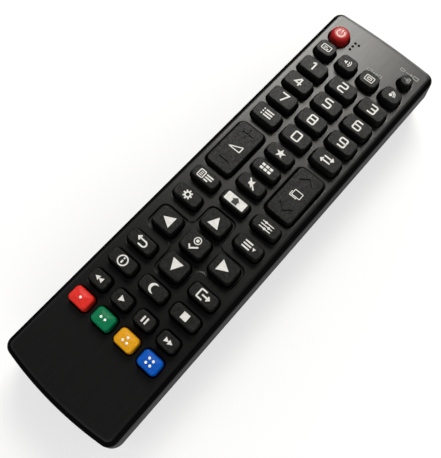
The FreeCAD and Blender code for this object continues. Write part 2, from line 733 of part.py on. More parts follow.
def make_keypad_mat():
    half_width = board_half_width - RIB_LAP - WINDOW_GAP
    low_y, high_y = keys_low_y - MAT_MARGIN, keys_high_y + MAT_MARGIN / 2
    sheet = box((-half_width, low_y, mat_z), (half_width, high_y, mat_z + MAT_THICKNESS))
    return sheet.cut(notch(leads_low_y - LED_GAP))


def make_ir_led():
    """A round emitter lying in the board's notch, with two leads on the board."""
    radius = LED_DIAMETER / 2
    dome = [math.pi / 2 * step / LED_DOME_FACETS for step in range(LED_DOME_FACETS)]
    profile = [(led_back_y, radius + LED_RIM), (led_back_y + LED_RIM, radius + LED_RIM)]
    profile.append((led_back_y + LED_RIM, radius))
    profile += [(led_tip_y - radius + radius * math.sin(turn), radius * math.cos(turn)) for turn in dome]
    pieces = [turned(0.0, led_z, profile, LED_FACETS)]
    for side in (-1, 1):
        x = side * LED_LEAD_SPACING / 2
        low = (x - LED_LEAD / 2, leads_low_y, mat_z)
        pieces.append(box(low, (x + LED_LEAD / 2, led_back_y + LED_RIM / 2, mat_z + LED_LEAD)))
    return fused(pieces)


def make_ir_window(shell_solid, rim_solid):
    """The dark window: a plug through the end wall and a rim behind it."""
    plug = shell_solid.common(window_prism(-WINDOW_GAP))
    rim = rim_solid.common(window_prism(WINDOW_RIM))
    return fused([plug, rim])


def make_controller_chip():
    low_z = board_z - CHIP_HEIGHT
    half_width, half_length = CHIP_WIDTH / 2, CHIP_LENGTH / 2
    low, high = (-half_width, chip_y - half_length), (half_width, chip_y + half_length)
    pieces = [box((*low, low_z), (*high, board_z))]
    pitch = CHIP_LENGTH / CHIP_LEADS
    for place in range(CHIP_LEADS):
        y = chip_y + (place - (CHIP_LEADS - 1) / 2) * pitch
        reach = half_width + CHIP_LEAD_REACH
        low = (-reach, y - CHIP_LEAD_WIDTH / 2, board_z - CHIP_LEAD_HEIGHT)
        pieces.append(box(low, (reach, y + CHIP_LEAD_WIDTH / 2, board_z)))
    return fused(pieces)


def make_resonator():
    half_depth = RESONATOR_DEPTH / 2
    y = chip_y - CHIP_LENGTH / 2 - PART_SPACING - half_depth
    size = (RESONATOR_WIDTH / 2, half_depth, half_depth, ROUND_FACETS)
    return stacked([rectangle_ring(0, y, *size, z) for z in (board_z - RESONATOR_HEIGHT, board_z)])


def make_capacitor():
    radius = CAPACITOR_DIAMETER / 2
    low_y = chip_y + CHIP_LENGTH / 2 + PART_SPACING
    profile = [(low_y, radius), (low_y + CAPACITOR_LENGTH, radius)]
    return turned(0.0, board_z - radius, profile, LED_FACETS)


def make_pieces():
    keys = place_keys()
    caps = {kind: make_key(kind) for kind in KINDS}
    pieces = {name: placed(caps[kind], x, y) for name, (kind, x, y) in keys.items()}
    pieces["top_case"] = make_top_case(keys)
    shell = bottom_outside().cut(bottom_inside(CASE_WALL))
    pieces["battery_cover"] = make_battery_cover(shell)
    pieces["bottom_case"] = make_bottom_case(shell)
    wall = top_outside()
    behind = CASE_WALL + CONTACT_GAP
    through = top_inside(behind, fascia_under_z)
    rim_back = top_inside(behind + WINDOW_RIM, fascia_under_z)
    pieces["ir_window"] = make_ir_window(wall.cut(through), through.cut(rim_back))
    pieces["ir_led"] = make_ir_led()
    pieces["circuit_board"] = make_circuit_board()
    pieces["keypad_mat"] = make_keypad_mat()
    pieces["controller_chip"] = make_controller_chip()
    pieces["resonator"] = make_resonator()
    pieces["capacitor"] = make_capacitor()
    pieces["battery_cells"] = make_battery_cells()
    pieces.update(make_contacts())
    return pieces


os.makedirs("parts", exist_ok=True)
for name, shape in make_pieces().items():
    shape.exportStep(f"parts/{name}.step")
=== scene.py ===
"""Looks for a hand-held infrared remote control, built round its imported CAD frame.

It is laid out as an add-on and run as a script. Every object is in metres, in the frame's own axes:
+Y points to the emitter end, +Z out of the key face. Sizes inside the script are in millimetres.
"""
import json
import math

import bmesh
import bpy
from bpy.props import FloatProperty, FloatVectorProperty, IntProperty, PointerProperty
from bpy.types import Operator, Panel, PropertyGroup
from mathutils import Matrix, Vector


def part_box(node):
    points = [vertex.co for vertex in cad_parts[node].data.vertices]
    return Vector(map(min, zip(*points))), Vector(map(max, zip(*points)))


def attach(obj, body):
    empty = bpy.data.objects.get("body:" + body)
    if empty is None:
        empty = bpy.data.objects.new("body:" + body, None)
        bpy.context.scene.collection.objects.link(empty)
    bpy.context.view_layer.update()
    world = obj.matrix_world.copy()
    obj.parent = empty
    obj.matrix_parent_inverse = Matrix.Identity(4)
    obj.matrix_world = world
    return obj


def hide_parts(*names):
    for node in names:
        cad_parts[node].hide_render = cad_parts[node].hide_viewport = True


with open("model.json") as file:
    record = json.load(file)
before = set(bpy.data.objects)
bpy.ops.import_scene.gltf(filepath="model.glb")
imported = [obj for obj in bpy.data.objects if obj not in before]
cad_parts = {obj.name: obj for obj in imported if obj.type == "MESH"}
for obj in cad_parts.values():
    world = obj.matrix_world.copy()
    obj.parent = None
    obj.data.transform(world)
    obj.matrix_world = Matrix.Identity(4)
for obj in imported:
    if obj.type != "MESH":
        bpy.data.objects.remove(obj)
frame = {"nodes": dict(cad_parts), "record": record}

bl_info = {
    "name": "Remote Control Looks",
    "version": (1, 0, 0),
    "blender": (4, 5, 0),
    "location": "3D View > Sidebar > Remote",
    "description": "Smooth housing, rubber keys, key prints and studio for a remote control",
    "category": "Object",
}

MM = 0.001


def corners_mm(node):
    """A CAD node's lowest and highest corner, in millimetres."""
    low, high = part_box(node)
    return low / MM, high / MM


# Sizes that the case and the keys share with the CAD, in millimetres

TOP_LOW, TOP_HIGH = corners_mm("top_case")
COVER_HIGH = corners_mm("battery_cover")[1]
HALF_WIDTH = TOP_HIGH.x
HALF_LENGTH = (TOP_HIGH.y - TOP_LOW.y) / 2
FACE_Z = TOP_HIGH.z
TOP_HEIGHT = 8.5
PARTING_Z = FACE_Z - TOP_HEIGHT
FACE_THICKNESS = 1.8
FLARE = 1.05
TUCK = 1.0
CORNER_RADIUS = 4.3
EMITTER_END_RADIUS = 280.0
HAND_END_RADIUS = 129.0
CASE_WALL = 1.8
FLANGE_WIDER = 0.554  # a key's flange, past the key's outline at the key face
OPENING_WIDER = 0.354  # the opening, past the same outline
RECESS_MARGIN = 1.1
RECESS_RADIUS = 2.4
COVER_GAP = 0.3
TONGUE_REACH = 0.8
TAB_REACH = 1.3
COVER_HALF_WIDTH = COVER_HIGH.x - TONGUE_REACH
COVER_FRONT = COVER_HIGH.y - TAB_REACH
COVER_CORNER = 0.5
TONGUE_HEIGHT = 0.8
TONGUE_FROM_END = 6.0
TAB_HALF_WIDTH = 5.0

# Sizes that only the looks have, in millimetres

SEAM = 0.22  # the soft edge on either side of the parting line
EDGE_STEPS = 12  # facets across the long edges of the case
RIM_STEPS = 5
RIM_SHARE = {"arrow": 0.7, "rocker": 1.8}  # how much of the usual rim these openings have
LEVEL_STRIP = 0.1  # level strip between a rim and the face's triangles
EDGE_STRIP = 0.12  # the same past the case's long edges
HOLLOW_SHARE = 0.35  # part of the recess's depth that is hollow, under its round brow
KEY_EDGE_STEPS = 7
TOP_STEPS = 4.0  # rings across a key's top
TOP_STRIP = 0.08  # level strip between a key's edge and its top
KEY_STRAIGHT = 0.02  # least half of a side between the corners of a key
OPENING_STRAIGHT = 0.01  # the same of an opening
LEAST_CORNER = 0.08  # least radius of a corner inside the lower half
PRINT_THICKNESS = 0.03
PRINT_SINK = 0.02  # how far a print reaches down into its key
GROOVE_DEPTH = 0.3
GROOVE_WIDTH = 0.6
MARK_FROM_END = 3.6  # from a rocker's end to the middle of its mark
BEYOND = 0.5  # how far a groove's cutter reaches out of its key
UNDER = -2.0  # where the cutters of the cover start, under the case
PAST_END = 5.0  # how far they reach past the hand end
TONGUE_ROOT = 0.4  # how far the side tongues reach into the cover's plate
TAB_ROOT = 1.0
PANEL_MARGIN = (1.1, 0.85)
FINE_PRINT = 0.02
SKIN = 0.03  # the skin over the lower half, outside the CAD's own face
SKIN_DEPTH = 0.9
WELD = 0.0005
SHEEN_FADE = 1.5  # half the width over which the sheen of the edges fades
SHARP_TURN = math.radians(38.0)

KINDS = {
    "power": ("power_key",),
    "input": ("input_key",),
    "small": ("subtitle_key", "audio_description_key", "ratio_key", "tv_radio_key"),
    "number": tuple(f"digit_{n}_key" for n in range(10)) + ("list_key", "quick_view_key"),
    "bar": (
        "favourite_key", "guide_key", "mute_key", "text_key", "home_key", "text_option_key",
        "settings_key", "quick_menu_key", "back_key", "exit_key", "info_key", "sleep_key", "stop_key",
    ),
    "arrow": ("up_key", "left_key", "ok_key", "right_key", "down_key"),
    "rocker": ("volume_rocker", "programme_rocker"),
    "play": ("rewind_key", "play_key", "pause_key", "fast_forward_key"),
    "colour": ("red_key", "green_key", "yellow_key", "blue_key"),
}
CORNER = {
    "power": 3.65, "input": 2.375, "small": 2.1, "number": 1.6, "bar": 1.5,
    "arrow": 1.6, "rocker": 1.6, "play": 1.5, "colour": 1.5,
}
ROUNDER = {"power": 3.6, "colour": 1.9}  # how many times the usual rounding these tops have
WIDE_PRINTS = ("list_key", "quick_view_key") + KINDS["bar"]
KIND_OF = {name: kind for kind, names in KINDS.items() for name in names}


def key_size(name):
    """A key's centre and its half width and half depth at the key face, with the height of its top."""
    low, high = corners_mm(name)
    middle = (low + high) / 2
    half = (high - low) / 2
    return middle.x, middle.y, half.x - FLANGE_WIDER, half.y - FLANGE_WIDER, high.z


# Settings that a user would change

COLOUR = {"subtype": "COLOR", "size": 4, "min": 0.0, "max": 1.0}
LAMP = {"subtype": "POWER", "unit": "POWER", "min": 0.0}


class HousingSettings(PropertyGroup):
    shoulder: FloatProperty(
        name="Shoulder", description="Radius of the edge round the key face, in millimetres",
        default=2.6, min=0.5, max=2.8)
    base_edge: FloatProperty(
        name="Base edge", description="Radius of the edge round the underside, in millimetres",
        default=3.0, min=0.5, max=3.0)
    rim: FloatProperty(
        name="Opening rim", description="Radius of the soft rim round each key opening, in millimetres",
        default=0.42, min=0.1, max=0.6)
    recess_depth: FloatProperty(
        name="Recess depth", description="Depth of the cross round the arrow keys, in millimetres",
        default=0.5, min=0.3, max=0.9)
    corner_steps: IntProperty(
        name="Corner steps", description="Facets round a corner of the case", default=14, min=4, max=40)
    colour: FloatVectorProperty(
        name="Plastic", description="Colour of the case", default=(0.002, 0.002, 0.002, 1.0), **COLOUR)


class KeySettings(PropertyGroup):
    draft: FloatProperty(
        name="Draft", description="How much a key narrows with height, as a share", default=0.03,
        min=0.0, max=0.2)
    rounding: FloatProperty(
        name="Rounding", description="Radius round a key's top, in millimetres", default=0.42,
        min=0.1, max=0.9)
    crown: FloatProperty(
        name="Crown", description="How far the tops of the coloured keys swell, in millimetres",
        default=0.45, min=0.0, max=1.0)
    print_width: FloatProperty(
        name="Print width", description="Width of a printed line, in millimetres", default=0.42,
        min=0.1, max=1.0)
    rubber: FloatVectorProperty(
        name="Rubber", description="Colour of the plain keys", default=(0.0085, 0.0085, 0.008, 1.0), **COLOUR)
    ink: FloatVectorProperty(
        name="Print", description="Colour of the key prints", default=(0.70, 0.69, 0.65, 1.0), **COLOUR)
    power: FloatVectorProperty(
        name="Power key", description="Colour of the power key", default=(0.36, 0.017, 0.017, 1.0), **COLOUR)
    red: FloatVectorProperty(
        name="Red key", description="Colour of the red key", default=(0.70, 0.030, 0.022, 1.0), **COLOUR)
    green: FloatVectorProperty(
        name="Green key", description="Colour of the green key", default=(0.004, 0.165, 0.065, 1.0), **COLOUR)
    yellow: FloatVectorProperty(
        name="Yellow key", description="Colour of the yellow key", default=(0.72, 0.33, 0.010, 1.0), **COLOUR)
    blue: FloatVectorProperty(
        name="Blue key", description="Colour of the blue key", default=(0.004, 0.088, 0.46, 1.0), **COLOUR)


class StageSettings(PropertyGroup):
    floor_colour: FloatVectorProperty(
        name="Floor", description="Colour of the floor", default=(0.92, 0.92, 0.92, 1.0), **COLOUR)
    key_lamp: FloatProperty(
        name="Key lamp", description="Power of the lamp beyond the emitter end", default=5.7, **LAMP)
    fill_lamp: FloatProperty(
        name="Fill lamp", description="Power of the lamp beyond the hand end", default=5.5, **LAMP)


# Mesh helpers


def new_object(name, data):
    thing = bpy.data.objects.new(name, data)
    bpy.context.scene.collection.objects.link(thing)
    return thing


def smooth_object(name, mesh):
    """An object with smooth faces and with hard edges where the faces turn far."""
    mesh.shade_smooth()
    mesh.set_sharp_from_angle(angle=SHARP_TURN)
    return new_object(name, mesh)


def finish_mesh(bm, name, paint):
    """Turns a bmesh in millimetres into an object in metres, faces outwards."""
    bmesh.ops.recalc_face_normals(bm, faces=bm.faces)
    bmesh.ops.scale(bm, vec=(MM, MM, MM), verts=bm.verts)
    mesh = bpy.data.meshes.new(name)
    bm.to_mesh(mesh)
    bm.free()
    mesh.materials.append(paint)
    return smooth_object(name, mesh)


def settled(thing, name):
    """The object with its modifiers turned into plain mesh."""
    graph = bpy.context.evaluated_depsgraph_get()
    mesh = bpy.data.meshes.new_from_object(thing.evaluated_get(graph), depsgraph=graph)
    bpy.data.objects.remove(thing)
    mesh.name = name
    return smooth_object(name, mesh)


def cut(thing, other, operation, name):
    """The object cut by another or kept inside it. The other is used up."""
    modifier = thing.modifiers.new("cut", "BOOLEAN")
    modifier.operation = operation
    modifier.solver = "EXACT"
    modifier.use_self = True
    modifier.object = other
    result = settled(thing, name)
    bpy.data.objects.remove(other)
    return result


def loop(bm, points):
    return [bm.verts.new(point) for point in points]


def bridge(bm, low, high):
    """A band of faces between two loops with the same number of points."""
    for place in range(len(low)):
        after = (place + 1) % len(low)
        bm.faces.new((low[place], low[after], high[after], high[place]))


def chain(bm, rings):
    """Bands of faces through a list of loops of points. It returns the first and the last loop."""
    loops = [loop(bm, ring) for ring in rings]
    for low, high in zip(loops, loops[1:]):
        bridge(bm, low, high)
    return loops[0], loops[-1]


def prism(name, rings, paint):
    """A closed solid through loops of points, with flat ends."""
    bm = bmesh.new()
    for end in chain(bm, rings):
        bm.faces.new(end)
    return finish_mesh(bm, name, paint)


def fill(bm, loops):
    """A flat face with holes, between an outer loop and the loops inside it."""
    edges = []
    for ring in loops:
        for place in range(len(ring)):
            pair = (ring[place - 1], ring[place])
            edges.append(bm.edges.get(pair) or bm.edges.new(pair))
    bmesh.ops.triangle_fill(bm, use_beauty=True, edges=edges, normal=(0.0, 0.0, 1.0))


# Outlines of the case and of its openings


def arc_points(x, y, radius, start, end, steps):
    """Points on an arc from one turn to another, with both ends."""
    turns = [start + (end - start) * step / steps for step in range(steps + 1)]
    return [(x + radius * math.cos(turn), y + radius * math.sin(turn)) for turn in turns]


def brow(wide, high, foot_z, steps=RIM_STEPS):
    """A round edge that goes up from its foot and levels off, as (distance from its foot, z)."""
    turns = [math.pi / 2 * step / steps for step in range(steps + 1)]
    return [(wide * (1 - math.cos(turn)), foot_z + high * math.sin(turn)) for turn in turns]


def fillet(corners, z, steps):
    """An outline of (x, y, radius) corners with rounded corners, going round against the clock."""
    ring = []
    count = len(corners)
    for place in range(count):
        x, y, radius = corners[place]
        here = Vector((x, y))
        back = (Vector(corners[place - 1][:2]) - here).normalized()
        ahead = (Vector(corners[(place + 1) % count][:2]) - here).normalized()
        half_angle = back.angle(ahead) / 2
        run = radius / math.tan(half_angle)
        centre = here + (back + ahead).normalized() * (radius / math.sin(half_angle))
        start = here + back * run - centre
        end = here + ahead * run - centre
        start_turn = math.atan2(start.y, start.x)
        swing = (math.atan2(end.y, end.x) - start_turn + math.pi) % (2 * math.pi) - math.pi
        bend = arc_points(centre.x, centre.y, radius, start_turn, start_turn + swing, steps)
        ring += [(a, b, z) for a, b in bend]
    return ring


def box_corners(x, y, half_width, half_depth):
    right, left, top, bottom = x + half_width, x - half_width, y + half_depth, y - half_depth
    return [(right, top), (left, top), (left, bottom), (right, bottom)]


def rounded_box(x, y, half_width, half_depth, radius, z, steps):
    corners = box_corners(x, y, half_width, half_depth)
    return fillet([(a, b, radius) for a, b in corners], z, steps)


def opening_ring(name, grow_by, z, steps=8):
    """The outline of one key's opening, grown on all sides."""
    x, y, half_width, half_depth, _ = key_size(name)
    wider = OPENING_WIDER + grow_by
    radius = min(CORNER[KIND_OF[name]] + wider, half_width + wider - OPENING_STRAIGHT)
    return rounded_box(x, y, half_width + wider, half_depth + wider, radius, z, steps)


def cross_ring(grow_by, z, steps=8):
    """The outline of the cross round the arrow keys, grown on all sides."""
    _, y, half_width, half_depth, _ = key_size("ok_key")
    arm_x, arm_y = half_width + RECESS_MARGIN + grow_by, half_depth + RECESS_MARGIN + grow_by
    reach = key_size("right_key")[0] + arm_x
    top, bottom = key_size("up_key")[1] + arm_y, key_size("down_key")[1] - arm_y
    upper, lower = y + arm_y, y - arm_y
    convex, concave = RECESS_RADIUS + grow_by, RECESS_RADIUS - grow_by
    right = [
        (arm_x, bottom, convex), (arm_x, lower, concave), (reach, lower, convex),
        (reach, upper, convex), (arm_x, upper, concave), (arm_x, top, convex)]
    left = [(-x, y, radius) for x, y, radius in reversed(right)]
    return fillet(right[-1:] + left + right[:-1], z, steps)


def plan_ring(inset, z, corner_steps):
    """The case's plan at one height, drawn in by inset from the parting line."""
    ring = []
    across = HALF_WIDTH - CORNER_RADIUS
    for end_radius, along in ((EMITTER_END_RADIUS, 1), (HAND_END_RADIUS, -1)):
        bow_y = HALF_LENGTH - end_radius
        reach = math.sqrt((end_radius - CORNER_RADIUS) ** 2 - across ** 2)
        meeting = math.atan2(reach, across)
        corner = arc_points(across, bow_y + reach, CORNER_RADIUS - inset, 0.0, meeting, corner_steps)
        bow = arc_points(0.0, bow_y, end_radius - inset, meeting, math.pi - meeting, 2 * corner_steps)
        points = corner + bow[1:-1] + [(-x, y) for x, y in reversed(corner)]
        if along < 0:
            points.reverse()
        ring += [(x, along * y, z) for x, y in points]
    return ring


def side_profile(lean, height, radius):
    """A side of the case as (inset, distance from its flat face), from the parting line on."""
    slope = math.atan2(lean, height)
    centre = lean * (height - radius) / height + radius / math.cos(slope)
    points = [(SEAM, height), (SEAM * 0.3, height - SEAM * 0.3), (lean * SEAM / height, height - SEAM)]
    points += arc_points(centre, radius, -radius, slope, math.pi / 2, EDGE_STEPS)
    return points + [(points[-1][0] + EDGE_STRIP, 0.0)]


# Node trees


class Nodes:
    """A small hand for building one node tree."""
    def __init__(self, tree):
        self.tree = tree

    def fit(self, made, *numbered, **named):
        """Links or sets inputs of a node, by their number or by their label with _ for a space."""
        labelled = [(label.replace("_", " "), value) for label, value in named.items()]
        for place, value in list(enumerate(numbered)) + labelled:
            if hasattr(value, "is_output"):
                self.tree.links.new(value, made.inputs[place])
            else:
                made.inputs[place].default_value = value
        return made

    def node(self, kind, settings=(), *numbered, **named):
        made = self.tree.nodes.new(kind)
        for label, value in dict(settings).items():
            setattr(made, label, value)
        return self.fit(made, *numbered, **named)

    def math(self, operation, *values):
        return self.node("ShaderNodeMath", {"operation": operation}, *values).outputs[0]

    def plus(self, first, second):
        return self.math("ADD", first, second)

    def minus(self, first, second):
        return self.math("SUBTRACT", first, second)

    def times(self, first, second):
        return self.math("MULTIPLY", first, second)

    def vector(self, operation, *values):
        return self.node("ShaderNodeVectorMath", {"operation": operation}, *values).outputs

    def join(self, **parts):
        return self.node("ShaderNodeCombineXYZ", **parts).outputs[0]

    def split(self, vector):
        return self.node("ShaderNodeSeparateXYZ", Vector=vector).outputs

    def spread(self, value, low, high):
        """A value as a share of the way from low to high."""
        return self.node("ShaderNodeMapRange", Value=value, From_Min=low, From_Max=high).outputs[0]

    def mix(self, factor, first, second, **settings):
        return self.node("ShaderNodeMix", settings, Factor=factor, A=first, B=second).outputs["Result"]

    def blend(self, factor, first, second, way="MIX"):
        """Two colours mixed by a factor."""
        return self.mix(factor, first, second, data_type="RGBA", blend_type=way)

    def spot(self):
        return self.node("ShaderNodeTexCoord").outputs["Object"]

    def noise(self, vector, scale, detail, roughness=0.55):
        made = self.node(
            "ShaderNodeTexNoise", Vector=vector, Scale=scale, Detail=detail, Roughness=roughness)
        return made.outputs["Fac"]

    def give(self, kind="Float", **outputs):
        """Ends a group with these outputs."""
        for label in outputs:
            self.tree.interface.new_socket(label, in_out="OUTPUT", socket_type="NodeSocket" + kind)
        self.node("NodeGroupOutput", **outputs)
        return self

    def finish(self, geometry):
        """Ends in Realize Instances and Set Material."""
        real = self.node("GeometryNodeRealizeInstances", Geometry=geometry)
        painted = self.node(
            "GeometryNodeSetMaterial", Geometry=real.outputs[0], Material=self.given["Material"])
        return self.give("Geometry", Geometry=painted.outputs[0])


def new_group(name, kind, **inputs):
    """A node group with these inputs. Each has a number as its default, or the name of its kind."""
    n = Nodes(bpy.data.node_groups.new(name, kind + "NodeTree"))
    n.identifiers = {}
    for label, value in inputs.items():
        named = isinstance(value, str)
        socket = n.tree.interface.new_socket(
            label.replace("_", " "), in_out="INPUT",
            socket_type="NodeSocket" + (value if named else type(value).__name__.capitalize()))
        if not named:
            socket.default_value = value
        n.identifiers[label] = socket.identifier
    n.given = n.node("NodeGroupInput").outputs
    return n


BUILT = {}


def built(builder):
    """A node group, built the first time that it is asked for."""
    if builder not in BUILT:
        BUILT[builder] = builder()
    return BUILT[builder]


# Shader groups that several materials use


def grain_group():
    """Fine moulded grain: a height, and a mask of its high spots."""
    n = new_group("Moulded grain", "Shader", Scale=9000.0, Coarse_share=0.35)
    fine = n.noise(n.spot(), n.given["Scale"], 3.0)
    coarse = n.noise(n.spot(), n.times(n.given["Scale"], 0.22), 2.0)
    height = n.mix(n.given["Coarse share"], fine, coarse)
    return n.give(Height=height, Mask=n.spread(height, 0.46, 0.66))


def hairline_group():
    """Long fine lines along the case, as brushed into the mould."""
    n = new_group("Hairlines", "Shader", Across=5200.0, Along=60.0)
    stretch = n.join(X=n.given["Across"], Y=n.given["Along"], Z=n.given["Along"])
    lines = n.noise(n.vector("MULTIPLY", n.spot(), stretch)[0], 1.0, 4.0, 0.7)
    return n.give(Height=lines, Mask=n.spread(lines, 0.35, 0.7))


def handling_group():
    """Soft cloudy marks that handling leaves: a mask, and a roughness between two values."""
    n = new_group("Handling marks", "Shader", Scale=38.0, Clean=0.42, Worn=0.5)
    clouds = n.spread(n.noise(n.spot(), n.given["Scale"], 5.0, 0.6), 0.35, 0.65)
    return n.give(Roughness=n.mix(clouds, n.given["Clean"], n.given["Worn"]), Mask=clouds)


def facing_group():
    """A mask from how far up or down a face looks: none at one value, and full at the other."""
    n = new_group("Facing", "Shader", None_at=1.0, Full_at=0.35)
    normal = n.node("ShaderNodeNewGeometry").outputs["Normal"]
    level = n.math("ABSOLUTE", n.split(normal)["Z"])
    return n.give(Mask=n.spread(level, n.given["None at"], n.given["Full at"]))


def use_group(n, builder, **values):
    """A shared group's outputs in a material."""
    return n.node("ShaderNodeGroup", {"node_tree": built(builder).tree}, **values).outputs


# Materials


def bump(n, shader, *heights):
    """Bump nodes one after another, from (height socket, strength, distance in mm)."""
    under = {}
    for height, strength, distance in heights:
        node = n.node("ShaderNodeBump", Height=height, Strength=strength, Distance=distance * MM, **under)
        under = {"Normal": node.outputs["Normal"]}
    n.fit(shader, **under)


def marked(n, shader, **values):
    """Roughness from the handling marks, whose mask is returned."""
    marks = use_group(n, handling_group, **values)
    n.fit(shader, Roughness=marks["Roughness"])
    return marks["Mask"]


def grained(n, shader, colour, other, strength, distance, **values):
    """Base colour and bump from the moulded grain. Its mask and the colour are returned."""
    grain = use_group(n, grain_group, **values)
    speckle = n.blend(grain["Mask"], colour, other)
    n.fit(shader, Base_Color=speckle)
    bump(n, shader, (grain["Height"], strength, distance))
    return grain["Mask"], speckle


def sheen_on_top(n, shader, share, least, most, rough, walls=0.1, inner=()):
    """A clear coat on the faces that look up, more of it where the mask given is high.

    Upright faces have the given part of it. The round edges between have it only within the
    given half width and up to the given distance towards the hand end, in millimetres."""
    covered = use_group(n, facing_group, None_at=0.92, Full_at=0.99)["Mask"]
    if inner:
        place = n.split(n.spot())
        edges = use_group(n, facing_group, None_at=0.3, Full_at=0.7)["Mask"]
        for away, limit in zip((n.math("ABSOLUTE", place["X"]), n.times(place["Y"], -1.0)), inner):
            fade = n.spread(away, (limit + SHEEN_FADE) * MM, (limit - SHEEN_FADE) * MM)
            edges = n.times(edges, fade)
        covered = n.math("MAXIMUM", covered, edges)
    upright = use_group(n, facing_group, None_at=0.5, Full_at=0.15)["Mask"]
    covered = n.math("MAXIMUM", covered, n.times(upright, walls))
    weight = n.times(n.mix(share, least, most), covered)
    n.fit(shader, Specular_IOR_Level=0.0, Coat_Weight=weight, Coat_Roughness=rough, Coat_IOR=1.6)


def shade(colour, factor):
    """A colour made lighter or darker."""
    return tuple(min(1.0, value * factor) for value in tuple(colour)[:3]) + (1.0,)


def material(name, maker):
    """A material by name, made the first time that it is asked for."""
    found = bpy.data.materials.get(name)
    if found:
        return found
    made = bpy.data.materials.new(name)
    made.use_nodes = True
    maker(Nodes(made.node_tree), made.node_tree.nodes["Principled BSDF"])
    return made


def case_plastic():
    colour = bpy.context.scene.remote_housing.colour

    def maker(n, shader):
        lines = use_group(n, hairline_group)
        grain = use_group(n, grain_group, Scale=5200.0)
        marked(n, shader, Clean=0.40, Worn=0.47)
        n.fit(shader, Base_Color=n.blend(lines["Mask"], colour, shade(colour, 1.5)))
        sheen_on_top(n, shader, lines["Mask"], 0.78, 1.0, rough=0.35, walls=0.35, inner=(19.5, 60.0))
        bump(n, shader, (lines["Height"], 0.5, 0.03), (grain["Height"], 0.3, 0.016))

    return material("satin_black_plastic", maker)


def base_plastic():
    colour = bpy.context.scene.remote_housing.colour

    def maker(n, shader):
        # The lower half's colour is the case colour made 4.5 to 7 times lighter. The spread between the two
        # is its grain. The lift itself is partly its grained finish and partly painted light, for the floor
        # light that its walls catch
        mask, _ = grained(
            n, shader, shade(colour, 4.5), shade(colour, 7.0), strength=0.35, distance=0.03,
            Scale=3600.0, Coarse_share=0.5)
        marked(n, shader, Scale=30.0, Clean=0.46, Worn=0.56)
        sheen_on_top(n, shader, mask, 0.35, 0.6, rough=0.5)

    return material("grained_black_plastic", maker)


def rubber(name, colour, painted_side_shade=0.4, clean=0.48, worn=0.58, strength=0.7, sheen=0.6, lighter=2.2):
    """Matte key rubber with a fine grain, and painted shade that darkens its upright sides."""
    def maker(n, shader):
        mask, speckle = grained(
            n, shader, shade(colour, 0.85), shade(colour, lighter), strength, 0.02, Scale=3600.0,
            Coarse_share=0.2)
        marked(n, shader, Scale=160.0, Clean=clean, Worn=worn)
        # Painted shade: the upright sides take a darker colour, standing in for the shade that falls on them
        upright = use_group(n, facing_group)["Mask"]
        n.fit(shader, Base_Color=n.blend(upright, speckle, (painted_side_shade, painted_side_shade, painted_side_shade, 1.0), "MULTIPLY"))
        sheen_on_top(n, shader, mask, sheen * 0.35, sheen, rough=clean)

    return material(name, maker)


def key_rubber(name):
    settings = bpy.context.scene.remote_keys
    label = name.removesuffix("_key")
    if KIND_OF[name] in ("power", "colour"):
        # The coloured keys and the power key have a little deeper painted shade on their sides
        return rubber(label + "_rubber", getattr(settings, label), painted_side_shade=0.38, clean=0.34, worn=0.44,
                      strength=0.2, sheen=1.0, lighter=1.12)
    return rubber("charcoal_rubber", settings.rubber)


def print_ink(name="key_ink", *rgb):
    """Printed ink, a little worn."""
    colour = rgb or bpy.context.scene.remote_keys.ink

    def maker(n, shader):
        mask = marked(n, shader, Scale=900.0, Clean=0.5, Worn=0.62)
        n.fit(shader, Base_Color=n.blend(mask, shade(colour, 1.0), shade(colour, 0.86)))

    return material(name, maker)


def plain(name, rgb, rough=0.5, metallic=0.0, scale=3000.0, strength=0.2, lighter=1.3, gloss=0.5):
    """A moulded or metal finish with a little grain, for the pieces inside."""
    def maker(n, shader):
        grained(n, shader, shade(rgb, 1.0), shade(rgb, lighter), strength, 0.02, Scale=scale)
        marked(n, shader, Scale=120.0, Clean=rough, Worn=rough + 0.1)
        n.fit(shader, Metallic=metallic, Specular_IOR_Level=gloss)

    return material(name, maker)


def dress(node, paint):
    """A CAD node in a material."""
    materials = frame["nodes"][node].data.materials
    materials.clear()
    materials.append(paint)


# Geometry Nodes trees for what repeats


